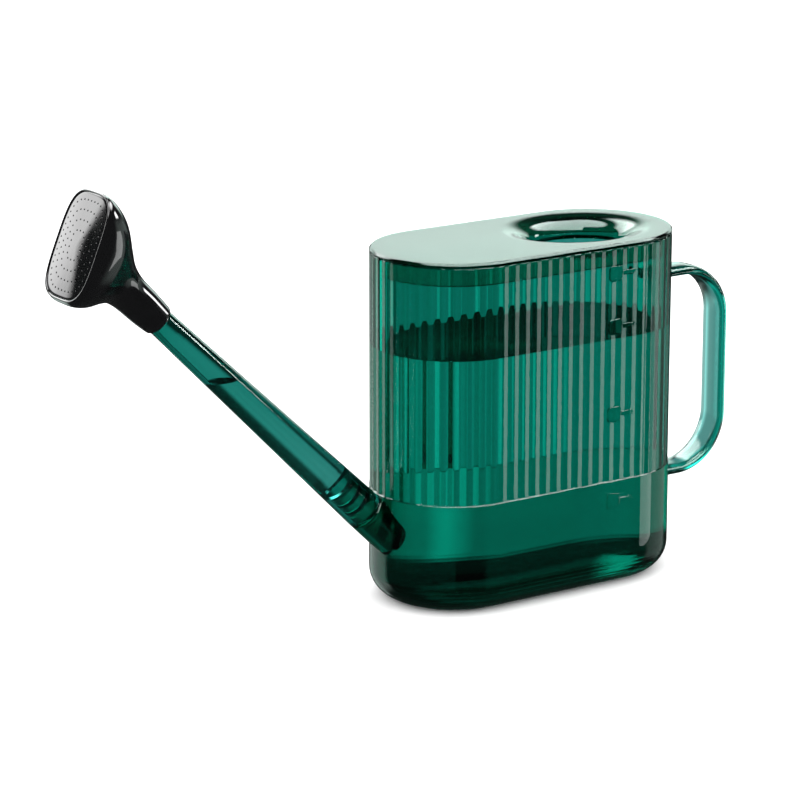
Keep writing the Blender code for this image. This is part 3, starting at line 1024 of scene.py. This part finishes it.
@dataclass
class Spout:
    """The spigot in the boss, its seals, the tapered tube and the seal on its tip."""

    line: SpoutLine
    boss_length: float = 24.5 * MM
    boss_radius: float = 9.9 * MM
    gap: float = 0.3 * MM
    flange: float = 1.2 * MM
    spigot_radius: float = 7.1 * MM
    spigot_bore: float = 5.0 * MM
    spigot_reach: float = 21.0 * MM
    socket: float = 7.9 * MM
    seal_section: float = 1.4 * MM
    seal_stations: tuple[float, float] = (8.5 * MM, 14.5 * MM)
    tube_length: float = 156.6 * MM
    tube_radius: float = 9.9 * MM
    tip_shoulder: float = 6.6 * MM
    socket_depth: float = 24.0 * MM
    tip_length: float = 14.0 * MM
    tip_radius: float = 5.8 * MM
    tip_wall: float = 1.9 * MM
    neck_bore: float = 6.4 * MM
    tip_seal_section: float = 0.9 * MM
    tip_seal_station: float = 7.0 * MM
    segments: int = 128

    @property
    def tube_start(self) -> float:
        """Where the tube starts along the axis."""
        return self.flange + 2 * self.gap

    @property
    def shoulder(self) -> float:
        """Where the tube steps down to its tip."""
        return self.tube_start + self.tube_length

    def groove(
        self, station: float, section: float, surface: float, bottom: float
    ) -> list[tuple[float, float]]:
        """The four corners of a seal's groove.

        Args:
            station: Middle of the groove along the axis.
            section: The seal's diameter of section.
            surface: Radius of the surface that it is cut into.
            bottom: Radius of its bottom.

        Returns:
            Corner points.
        """
        half = section / 2 + self.gap
        return [(station - half, surface), (station - half, bottom), (station + half, bottom),
                (station + half, surface)]

    def seal(self, name: str, station: float, bore: float, section: float) -> bpy.types.Object:
        """A round seal: a circle of the section's radius swept round the axis.

        Args:
            name: Name of the seal.
            station: Where it lies along the axis.
            bore: Radius of the bore that it just clears.
            section: Diameter of its section.

        Returns:
            The seal.
        """
        angle = np.arange(20) * math.tau / 20
        centre = bore - self.gap - section / 2
        loop = np.column_stack((station + section / 2 * np.sin(angle), centre + section / 2 * np.cos(angle)))
        return skin(name, self.line.turned(loop, 96), Ends.LOOPED)

    def spigot(self) -> bpy.types.Object:
        """The nipple: shank, flange and grooved nose.

        Returns:
            The piece.
        """
        bottom = self.socket - 2 * self.gap - self.seal_section
        high = self.gap + self.flange
        nose = high + self.spigot_reach
        profile = [(-self.boss_length, self.spigot_bore), (-self.boss_length, self.spigot_radius)]
        profile += [(self.gap, self.spigot_radius), (self.gap, self.boss_radius)]
        profile += [(high, self.boss_radius), (high, self.spigot_radius)]
        for station in self.seal_stations:
            profile += self.groove(station, self.seal_section, self.spigot_radius, bottom)
        profile += [(nose - 1.0 * MM, self.spigot_radius), (nose, self.spigot_radius - 1.0 * MM)]
        profile.append((nose, self.spigot_bore))
        outline = braced(rounded(profile, 0.25 * MM), 0.15 * MM, True)
        return skin("spout_spigot_fine", self.line.turned(outline, self.segments), Ends.LOOPED)

    def tube(self) -> bpy.types.Object:
        """The tapered tube with its stepped, grooved tip.

        Returns:
            The piece.
        """
        bottom = self.neck_bore - 2 * self.gap - self.tip_seal_section
        end = self.shoulder + self.tip_length
        bore = self.tip_radius - self.tip_wall
        profile = [(self.tube_start, self.socket), (self.tube_start, self.tube_radius)]
        profile += [(self.shoulder, self.tip_shoulder), (self.shoulder, self.tip_radius)]
        seal_at = self.shoulder + self.tip_seal_station
        profile += self.groove(seal_at, self.tip_seal_section, self.tip_radius, bottom)
        profile += [(end, self.tip_radius), (end, bore), (self.shoulder, bore)]
        profile += [(self.shoulder - self.tip_length, self.tip_shoulder - self.tip_wall)]
        profile += [(self.tube_start + self.socket_depth, self.socket)]
        outline = braced(rounded(profile, 0.35 * MM), 0.2 * MM, True)
        return skin("spout_tube_fine", self.line.turned(outline, self.segments), Ends.LOOPED)

    def build(self) -> None:
        """Builds and dresses every piece of the spout."""
        dress(self.spigot(), "can", "clear_green", GREEN, "spout_spigot")
        for name, station in zip(("spigot_seal_lower", "spigot_seal_upper"), self.seal_stations):
            ring = self.seal(name + "_fine", station, self.socket, self.seal_section)
            dress(ring, "spout_seals", "seal_rubber", RUBBER, name)
        dress(self.tube(), "spout", "clear_green", SPOUT_GREEN, "spout_tube")
        station = self.shoulder + self.tip_seal_station
        ring = self.seal("neck_seal_fine", station, self.neck_bore, self.tip_seal_section)
        dress(ring, "rose_seal", "seal_rubber", RUBBER, "neck_seal")


# ---------------------------------------------------------------------------------------
# The rose


@dataclass
class Rose:
    """The rose: a neck that flares and bends to an oblong face with a perforated plate."""

    line: SpoutLine
    start: float
    neck_radius: float = 7.8 * MM
    neck_bore: float = 6.4 * MM
    neck_depth: float = 14.3 * MM
    throat: float = 3.9 * MM
    neck_edge: float = 0.8 * MM
    wall: float = 1.7 * MM
    face_distance: float = 57.8 * MM
    face_half: tuple[float, float] = (26.0 * MM, 19.3 * MM)
    tilt: float = math.radians(21.6)
    rim: float = 1.1 * MM
    rim_proud: float = 0.42 * MM
    plate_thickness: float = 1.6 * MM
    plate_dome: float = 0.9 * MM
    plate_gap: float = 0.3 * MM
    ledge: float = 1.4 * MM
    squareness: float = 3.5
    columns: int = 144
    flare_rows: int = 64
    hole_radius: float = 0.36 * MM
    hole_rings: tuple[tuple[float, int], ...] = ((0.86, 42), (0.67, 32), (0.48, 22), (0.28, 14))
    # share of the way to the face, lift and growth as shares, share of the tilt, squareness
    flare: tuple[tuple[float, float, float, float, float], ...] = (
        (0.00, 0.000, 0.000, 0.00, 2.0),
        (0.17, 0.000, 0.050, 0.00, 2.0),
        (0.37, 0.005, 0.085, 0.04, 2.0),
        (0.50, 0.025, 0.190, 0.28, 2.2),
        (0.61, 0.045, 0.420, 0.48, 2.5),
        (0.75, 0.060, 0.770, 0.70, 2.9),
        (0.865, 0.040, 0.950, 0.84, 3.3),
        (0.95, 0.015, 1.020, 0.95, 3.5),
        (1.00, 0.000, 1.000, 1.00, 3.5),
    )

    def sections(self, stations: np.ndarray, wall: float) -> np.ndarray:
        """Tilted superellipse sections of the flare.

        A section's half sizes grow from the neck's radius to the face's; its plane tilts
        about Y; x = a |cos|^(2/n), y = b |sin|^(2/n) with the signs of cos and sin.

        Args:
            stations: Rows of (share of the way, lift, growth, tilt share, squareness).
            wall: Distance by which the half sizes are reduced.

        Returns:
            Points as rows x columns x 3 in the rose's own frame.
        """
        turn = np.arange(self.columns) * math.tau / self.columns
        power = 2.0 / stations[:, 4:5]
        long_half = self.neck_radius + stations[:, 2:3] * (self.face_half[0] - self.neck_radius) - wall
        wide_half = self.neck_radius + stations[:, 2:3] * (self.face_half[1] - self.neck_radius) - wall
        along = long_half * np.sign(np.cos(turn)) * np.abs(np.cos(turn)) ** power
        across = wide_half * np.sign(np.sin(turn)) * np.abs(np.sin(turn)) ** power
        tilt = stations[:, 3:4] * self.tilt
        x = stations[:, 1:2] * self.face_half[0] + along * np.cos(tilt)
        z = stations[:, 0:1] * self.face_distance + along * np.sin(tilt)
        return np.stack((x, across, z), axis=-1)

    def smooth_stations(self, count: int) -> np.ndarray:
        """The flare's stations joined by a smooth curve.

        Between two stations each value follows the cubic whose end slopes are the mean
        slopes of the neighbouring stretches (a Catmull-Rom curve).

        Args:
            count: Number of rows wanted.

        Returns:
            Rows of the five values.
        """
        table = np.array(self.flare)
        knots = np.arange(len(table), dtype=float)
        slopes = np.gradient(table, knots, axis=0)
        at = np.linspace(0.0, len(table) - 1.0, count)
        low = np.minimum(at.astype(int), len(table) - 2)
        t = (at - low)[:, None]
        value = (2 * t**3 - 3 * t**2 + 1) * table[low] + (3 * t**2 - 2 * t**3) * table[low + 1]
        return value + (t**3 - 2 * t**2 + t) * slopes[low] + (t**3 - t**2) * slopes[low + 1]

    def face_rows(self, rows: np.ndarray) -> np.ndarray:
        """Rings parallel to the face.

        Args:
            rows: Rows of (depth behind the face, inset from its edge).

        Returns:
            Points as rows x columns x 3 in the rose's own frame.
        """
        turn = np.arange(self.columns) * math.tau / self.columns
        power = 2.0 / self.squareness
        along = (self.face_half[0] - rows[:, 1:2]) * np.sign(np.cos(turn)) * np.abs(np.cos(turn)) ** power
        across = (self.face_half[1] - rows[:, 1:2]) * np.sign(np.sin(turn)) * np.abs(np.sin(turn)) ** power
        x = along * math.cos(self.tilt) + rows[:, 0:1] * math.sin(self.tilt)
        z = self.face_distance + along * math.sin(self.tilt) - rows[:, 0:1] * math.cos(self.tilt)
        return np.stack((x, across, z), axis=-1)

    def place(self, local: np.ndarray) -> np.ndarray:
        """Moves points from the rose's own frame to the part's."""
        return self.line.place(local + np.array((0.0, 0.0, self.start)))

    def housing(self) -> bpy.types.Object:
        """The housing: neck, flare, rim, ledge for the plate and the hollow.

        Returns:
            The piece.
        """
        turn = np.linspace(0.0, math.pi / 2, 6)
        neck = np.column_stack((
            self.neck_edge * (1 - np.sin(turn)),
            self.neck_radius - self.neck_edge * (1 - np.cos(turn)),
        ))[::-1]
        round_angle = np.arange(self.columns) * math.tau / self.columns

        def circles(profile: np.ndarray) -> np.ndarray:
            """Circles about the axis.

            Args:
                profile: Rows of (distance, radius).

            Returns:
                Points as rows x columns x 3.
            """
            x = profile[:, 1:2] * np.cos(round_angle)
            y = profile[:, 1:2] * np.sin(round_angle)
            return np.stack((x, y, np.broadcast_to(profile[:, 0:1], x.shape)), axis=-1)

        outside = self.smooth_stations(self.flare_rows)
        outside = outside[outside[:, 0] > self.neck_edge / self.face_distance * 1.2]
        lip = np.linspace(0.0, math.pi, 9)
        lip_rows = np.column_stack((
            -self.rim_proud * np.sin(lip), self.rim / 2 * (1 - np.cos(lip)) * 0.96,
        ))
        seat = self.plate_thickness + self.plate_gap
        ledge = self.rim + self.plate_gap + self.ledge
        inside_rows = np.array(((seat, self.rim), (seat, ledge), (seat + self.ledge, ledge)))
        hollow = self.smooth_stations(self.flare_rows)
        hollow = hollow[(hollow[:, 0] > 0.46) & (hollow[:, 0] < 0.84)][::-1]
        neck_start = np.array(((0.0, self.neck_bore), (0.0, self.neck_bore + 0.4 * MM)))
        back = np.array(((self.neck_depth, self.throat), (self.neck_depth, self.neck_bore)))
        grid = np.concatenate((
            circles(neck_start), circles(neck), self.sections(outside, 0.0), self.face_rows(lip_rows),
            self.face_rows(inside_rows), self.sections(hollow, self.wall + self.ledge), circles(back),
        ))
        return skin("rose_shell", self.place(grid), Ends.LOOPED, 40.0)

    def plate_surface(self, share: np.ndarray, turn: np.ndarray, lift: float) -> np.ndarray:
        """Points on the domed plate.

        The dome's height falls as 1 - share squared from the middle to the edge.

        Args:
            share: Shares of the way from the middle to the plate's edge.
            turn: Angles round the plate.
            lift: Height above the plate's surface.

        Returns:
            Points in the rose's own frame.
        """
        inset = self.rim + self.plate_gap * 0.5
        power = 2.0 / self.squareness
        a = (self.face_half[0] - inset) * share
        b = (self.face_half[1] - inset) * share
        along = a * np.sign(np.cos(turn)) * np.abs(np.cos(turn)) ** power
        across = b * np.sign(np.sin(turn)) * np.abs(np.sin(turn)) ** power
        depth = -self.plate_dome * (1 - share**2) - lift
        x = along * math.cos(self.tilt) + depth * math.sin(self.tilt)
        z = self.face_distance + along * math.sin(self.tilt) - depth * math.cos(self.tilt)
        return np.stack((x, np.broadcast_to(across, x.shape), z), axis=-1)

    def plate(self) -> bpy.types.Object:
        """The domed plate with its spray holes.

        Returns:
            The piece.
        """
        turn = (np.arange(self.columns) * math.tau / self.columns)[None]
        share = np.array((0.04, 0.15, 0.3, 0.45, 0.6, 0.72, 0.82, 0.9, 0.95, 0.98))[:, None]
        front = self.plate_surface(share, turn, 0.0)
        edge = self.plate_surface(np.array(((1.0,),)), turn, -0.12 * MM)
        side = self.plate_surface(np.array(((1.0,),)), turn, -self.plate_thickness)
        back = self.plate_surface(share[::-1], turn, -self.plate_thickness)
        plate = skin("rose_face", self.place(np.concatenate((front, edge, side, back))), Ends.CAPPED)
        cut_and_apply(plate, [(self.hole_tool(), "DIFFERENCE")])
        return plate

    def hole_tool(self) -> bpy.types.Object:
        """All the spray holes as one tool: small countersunk pins square to the face.

        Returns:
            The tool.
        """
        pins = []
        normal = np.array((-math.sin(self.tilt), 0.0, math.cos(self.tilt)))
        long_way = np.array((math.cos(self.tilt), 0.0, math.sin(self.tilt)))
        side_way = np.array((0.0, 1.0, 0.0))
        angle = np.arange(10) * math.tau / 10
        reach = self.plate_thickness + self.plate_dome
        rows = np.array(((-reach, 1.0), (-0.12 * MM, 1.0), (0.06 * MM, 1.7), (0.5 * MM, 1.7)))
        circle = np.cos(angle)[:, None] * long_way + np.sin(angle)[:, None] * side_way
        pin = rows[:, 0, None, None] * normal + rows[:, 1, None, None] * self.hole_radius * circle
        for share, count in self.hole_rings:
            even = self.even_angles(share, count)
            centres = self.plate_surface(np.full(count, share), even, 0.0)
            for number, centre in enumerate(centres):
                pins.append(skin(f"pin{share}_{number}", self.place(pin + centre), Ends.CAPPED))
        return joined("holes", pins)

    def even_angles(self, share: float, count: int) -> np.ndarray:
        """Angles that space points evenly round one of the plate's rings.

        The ring's length is summed over fine steps, and the angles at equal lengths are
        read back from the sum.

        Args:
            share: Share of the way from the middle to the edge.
            count: Number of points.

        Returns:
            Angles.
        """
        turn = np.linspace(0.0, math.tau, 721)
        ring = self.plate_surface(np.full_like(turn, share), turn, 0.0)
        length = np.concatenate(((0.0,), np.cumsum(np.linalg.norm(np.diff(ring, axis=0), axis=1))))
        return np.interp(np.arange(count) / count * length[-1], length, turn)

    def build(self) -> None:
        """Builds and dresses the rose."""
        dress(self.housing(), "rose", "black_plastic", BLACK, "rose_housing")
        dress(self.plate(), "rose", "black_plastic", BLACK, "rose_plate")


# ---------------------------------------------------------------------------------------
# The studio


@dataclass
class WaterFill:
    """Water in the can and the spout, set dressing that isn't part of the object."""

    can: Can
    spout: Spout
    level: float = 128.3 * MM
    lap: float = 0.15 * MM

    def in_can(self) -> bpy.types.Object:
        """Water up to the level, lapping into the wall a little.

        Returns:
            The stage piece.
        """
        can = self.can
        inner = can.base_round - can.wall
        angle = np.linspace(0.0, math.pi / 2, can.round_rows)
        rows = np.column_stack((
            can.floor - self.lap + (inner + self.lap) * (1 - np.cos(angle)),
            can.wall - self.lap + (inner + self.lap) * (1 - np.sin(angle)),
            0.0 * angle,
        ))
        rows = np.concatenate((rows, ((self.level, can.wall - self.lap, 0.0),)))
        return skin("stage_water_can", can.wall_points(rows, 264), Ends.CAPPED, 30.0)

    def in_spout(self) -> bpy.types.Object:
        """Water in the spout, its top cut level.

        A point of the top ring at radius r and angle a lies where its height, seam height +
        s sin(slope) + r cos(a) cos(slope), equals the water's.

        Returns:
            The stage piece.
        """
        spout = self.spout
        nose = spout.gap + spout.flange + spout.spigot_reach
        socket_end = spout.tube_start + spout.socket_depth
        taper_end = spout.shoulder - spout.tip_length
        rise = spout.line.way[2]
        run = -spout.line.way[0]
        middle = (self.level - spout.line.seam[2]) / rise
        tip_bore = spout.tip_shoulder - spout.tip_wall
        share = (middle - socket_end) / (taper_end - socket_end)
        top_radius = spout.socket + share * (tip_bore - spout.socket) + self.lap
        angle = np.arange(96) * math.tau / 96
        column = np.array((
            (0.5 * MM - spout.boss_length, spout.spigot_bore + self.lap),
            (nose + 0.1 * MM, spout.spigot_bore + self.lap),
            (nose + 0.2 * MM, spout.socket + self.lap),
            (socket_end, spout.socket + self.lap),
            (middle - 20.0 * MM, top_radius + 0.4 * MM),
        ))
        radius = np.concatenate((column[:, 1], (top_radius,)))[:, None]
        x = radius * np.cos(angle)
        y = radius * np.sin(angle)
        z = np.empty_like(x)
        z[:-1] = column[:, 0:1]
        z[-1] = (self.level - spout.line.seam[2] - x[-1] * run) / rise
        return skin("stage_water_spout", spout.line.place(np.stack((x, y, z), axis=-1)), Ends.CAPPED)

    def build(self) -> None:
        """Builds the water and marks it as stage."""
        for piece, body in ((self.in_can(), "can"), (self.in_spout(), "spout")):
            piece.data.materials.append(Water("stage_water").material())
            piece.parent = frame["bodies"][body]


@dataclass(frozen=True)
class Panel:
    """A soft patch of light, in degrees of bearing and of height above the horizon.

    Bearings run from -120 to 240, anticlockwise from +X; one range past both ends goes all round.
    """

    bearing: tuple[float, float]
    height: tuple[float, float]
    strength: float
    soft: float = 6.0


@dataclass(frozen=True)
class Lamp:
    """A rectangular lamp: its middle, the way its back faces, its size and its radiance."""

    place: tuple[float, float, float]
    back: tuple[float, float, float]
    size: tuple[float, float]
    radiance: float


@dataclass
class Studio:
    """The floor, the light and the camera."""

    camera_place: tuple[float, float, float] = (-0.98149, -1.35777, 0.54834)
    bearing: float = 33.8
    slope: float = 15.23
    lens: float = 156.78
    lowest_bearing: float = -120.0
    floor_size: float = 14.0
    reflected: tuple[Panel, ...] = (
        Panel((64.0, 114.0), (22.0, 50.0), 8.0, 5.0),
        Panel((100.0, 121.5), (3.0, 20.0), 4.5, 2.5),
        Panel((-400.0, 24.0), (37.0, 66.0), 11.0, 4.0),
        Panel((-400.0, 400.0), (66.0, 95.0), 11.0, 4.0),
        Panel((-20.0, -8.0), (6.0, 17.0), 14.0, 1.5),
    )
    through: tuple[Panel, ...] = (
        Panel((-75.0, 34.0), (-30.0, -9.0), 0.5, 5.0),
        Panel((34.0, 42.0), (-30.0, -9.0), 0.95, 4.5),
        Panel((42.0, 66.0), (-30.0, -9.0), 0.36, 3.0),
        Panel((66.0, 104.0), (-30.0, -9.0), 0.4, 3.0),
        Panel((104.0, 126.0), (-30.0, -4.0), 1.8, 3.0),
        Panel((126.0, 250.0), (-30.0, -4.0), 0.4, 3.0),
        Panel((64.0, 100.0), (20.0, 50.0), 3.0, 5.0),
        Panel((20.0, 64.0), (21.0, 40.0), 0.22, 3.0),
        Panel((-400.0, 400.0), (-95.0, -36.0), 0.2, 5.0),
    )
    backdrop: tuple[Panel, ...] = (
        Panel((20.0, 98.0), (3.0, 20.0), 2.35),
        Panel((76.0, 130.0), (-38.0, -6.0), 0.9),
        Panel((-30.0, 16.0), (-30.0, 2.0), 0.5),
    )
    backdrop_colour: tuple[float, float, float] = (0.82, 1.0, 0.93)
    dark: float = 0.015
    diffuse: float = 2.0
    lamps: tuple[Lamp, ...] = (
        Lamp((0.468, -0.319, -0.02), (0.766, -0.643, 0.0), (0.2, 0.24), 2.2),
    )

    def camera(self) -> None:
        """Sets the camera on the object with a long lens."""
        data = bpy.data.cameras.new("camera")
        data.lens = self.lens
        data.sensor_width = 36.0
        data.clip_end = 50.0
        camera = bpy.data.objects.new("camera", data)
        bpy.context.scene.collection.objects.link(camera)
        bearing = math.radians(-self.bearing)
        slope = math.radians(self.slope)
        level = math.cos(slope)
        back = Vector((math.sin(bearing) * level, -math.cos(bearing) * level, math.sin(slope)))
        camera.rotation_euler = back.to_track_quat("Z", "Y").to_euler()
        camera.location = self.camera_place
        bpy.context.scene.camera = camera

    def floor(self) -> None:
        """Lays a plain floor that only the camera and soft light see."""
        half = self.floor_size / 2
        corners = np.array(((-half, -half, 0.0), (half, -half, 0.0), (half, half, 0.0), (-half, half, 0.0)))
        floor = object_from_loops(
            "floor", corners - (0.0, 0.0, 0.1 * MM), np.arange(4), np.array((0,)), np.array((4,)), 35.0
        )
        floor.data.materials.append(FloorPaint("floor_white").material())
        floor.visible_glossy = False
        floor.visible_transmission = False
        floor.visible_shadow = False

    def hang(self, name: str, lamp: Lamp) -> None:
        """Hangs a lamp that only gloss shows. Its power is radiance x pi x area.

        Args:
            name: Name of the lamp.
            lamp: Where it is and how bright.
        """
        data = bpy.data.lights.new(name, "AREA")
        data.shape = "RECTANGLE"
        data.size, data.size_y = lamp.size
        data.energy = lamp.radiance * math.pi * data.size * data.size_y
        made = bpy.data.objects.new(name, data)
        bpy.context.scene.collection.objects.link(made)
        made.rotation_euler = Vector(lamp.back).to_track_quat("Z", "Y").to_euler()
        made.location = lamp.place
        made.visible_camera = False
        made.visible_diffuse = False
        made.visible_transmission = False

    def panels(self, nodes: Nodes, panels: tuple[Panel, ...], bearing: object, height: object) -> object:
        """Adds up soft patches of light.

        Args:
            nodes: Builder of the world's tree.
            panels: The patches.
            bearing: Socket with the ray's bearing in degrees.
            height: Socket with its height in degrees.

        Returns:
            Socket with the brightness.
        """
        total = self.dark
        for panel in panels:
            parts = []
            for value, (low, high) in ((bearing, panel.bearing), (height, panel.height)):
                soft = panel.soft
                parts.append(nodes.ramp(value, low - soft, low + soft, 0.0, 1.0))
                parts.append(nodes.ramp(value, high - soft, high + soft, 1.0, 0.0))
            mask = parts[0]
            for part in parts[1:]:
                mask = nodes.math("MULTIPLY", mask, part)
            total = nodes.math("MULTIPLY_ADD", mask, panel.strength, total)
        return total

    def world(self) -> None:
        """Lights the scene: even for soft light, shaped panels for gloss and clear plastic."""
        world = bpy.data.worlds.new("studio")
        bpy.context.scene.world = world
        world.use_nodes = True
        nodes = Nodes(world.node_tree)
        way = nodes.add("SeparateXYZ", Vector=nodes.add("TexCoord").outputs["Generated"]).outputs
        degrees = 180.0 / math.pi
        bearing = nodes.math("MULTIPLY", nodes.math("ARCTAN2", way["Y"], way["X"]), degrees)
        below = nodes.math("LESS_THAN", bearing, self.lowest_bearing)
        wrapped = nodes.math("ADD", bearing, nodes.math("MULTIPLY", below, 360.0))
        height = nodes.math("MULTIPLY", nodes.math("ARCSINE", way["Z"]), degrees)
        mirror = self.panels(nodes, self.reflected, wrapped, height)
        clear = self.panels(nodes, self.through, wrapped, height)
        path = nodes.add("LightPath").outputs
        through = path[RayKind.THROUGH.value]
        reflected = nodes.math("SUBTRACT", path[RayKind.GLOSSY.value], through, clamp=True)
        light = nodes.math("MULTIPLY", reflected, mirror)
        passing = nodes.math("MULTIPLY", through, clear)
        matte = nodes.math("SUBTRACT", path[RayKind.MATTE.value], through, clamp=True)
        soft = nodes.math("MAXIMUM", matte, path[RayKind.CAMERA.value])
        total = nodes.math("ADD", light, passing)
        total = nodes.math("MULTIPLY_ADD", soft, self.diffuse, total)
        white = nodes.add("Background", Color=(1.0, 1.0, 1.0, 1.0), Strength=total)
        far = nodes.math("MULTIPLY", reflected, self.panels(nodes, self.backdrop, wrapped, height))
        tinted = nodes.add("Background", Color=(*self.backdrop_colour, 1.0), Strength=far)
        both = nodes.add("AddShader", in0=white.outputs[0], in1=tinted.outputs[0])
        nodes.add("OutputWorld", Surface=both.outputs[0])

    def build(self) -> None:
        """Sets up the whole studio."""
        self.camera()
        self.floor()
        for number, lamp in enumerate(self.lamps):
            self.hang(f"lamp{number}", lamp)
        self.world()
        bpy.context.scene.view_settings.view_transform = "Standard"


def spout_line() -> SpoutLine:
    """Reads the spout's axis from the frame's joints."""
    joint = next(joint for joint in frame["joints"] if joint["name"] == "spout_swivel")
    return SpoutLine(tuple(joint["pos_m"]), tuple(joint["axis"]))


def main() -> None:
    """Builds every sub-assembly in order."""
    logging.basicConfig(level=logging.INFO, format="%(name)s: %(message)s")
    Studio().build()
    line = spout_line()
    can = Can()
    dress(can.build(line), "can", "clear_green", GREEN, "can_shell")
    lid = Lid(can)
    lid_finish = ClearPlastic(
        "moulded_lid_green", density=1900.0, reflection=(0.74, 1.0, 0.91),
        satin_above=lid.top() - 0.3 * MM, satin=0.16,
    )
    dress(lid.build(), "lid", "lid_green", lid_finish, "lid")
    dress(Handle(can).build(), "can", "handle_green", HANDLE_GREEN, "handle")
    spout = Spout(line)
    spout.build()
    Rose(line, spout.shoulder + spout.gap).build()
    WaterFill(can, spout).build()


if __name__ == "__main__":
    main()
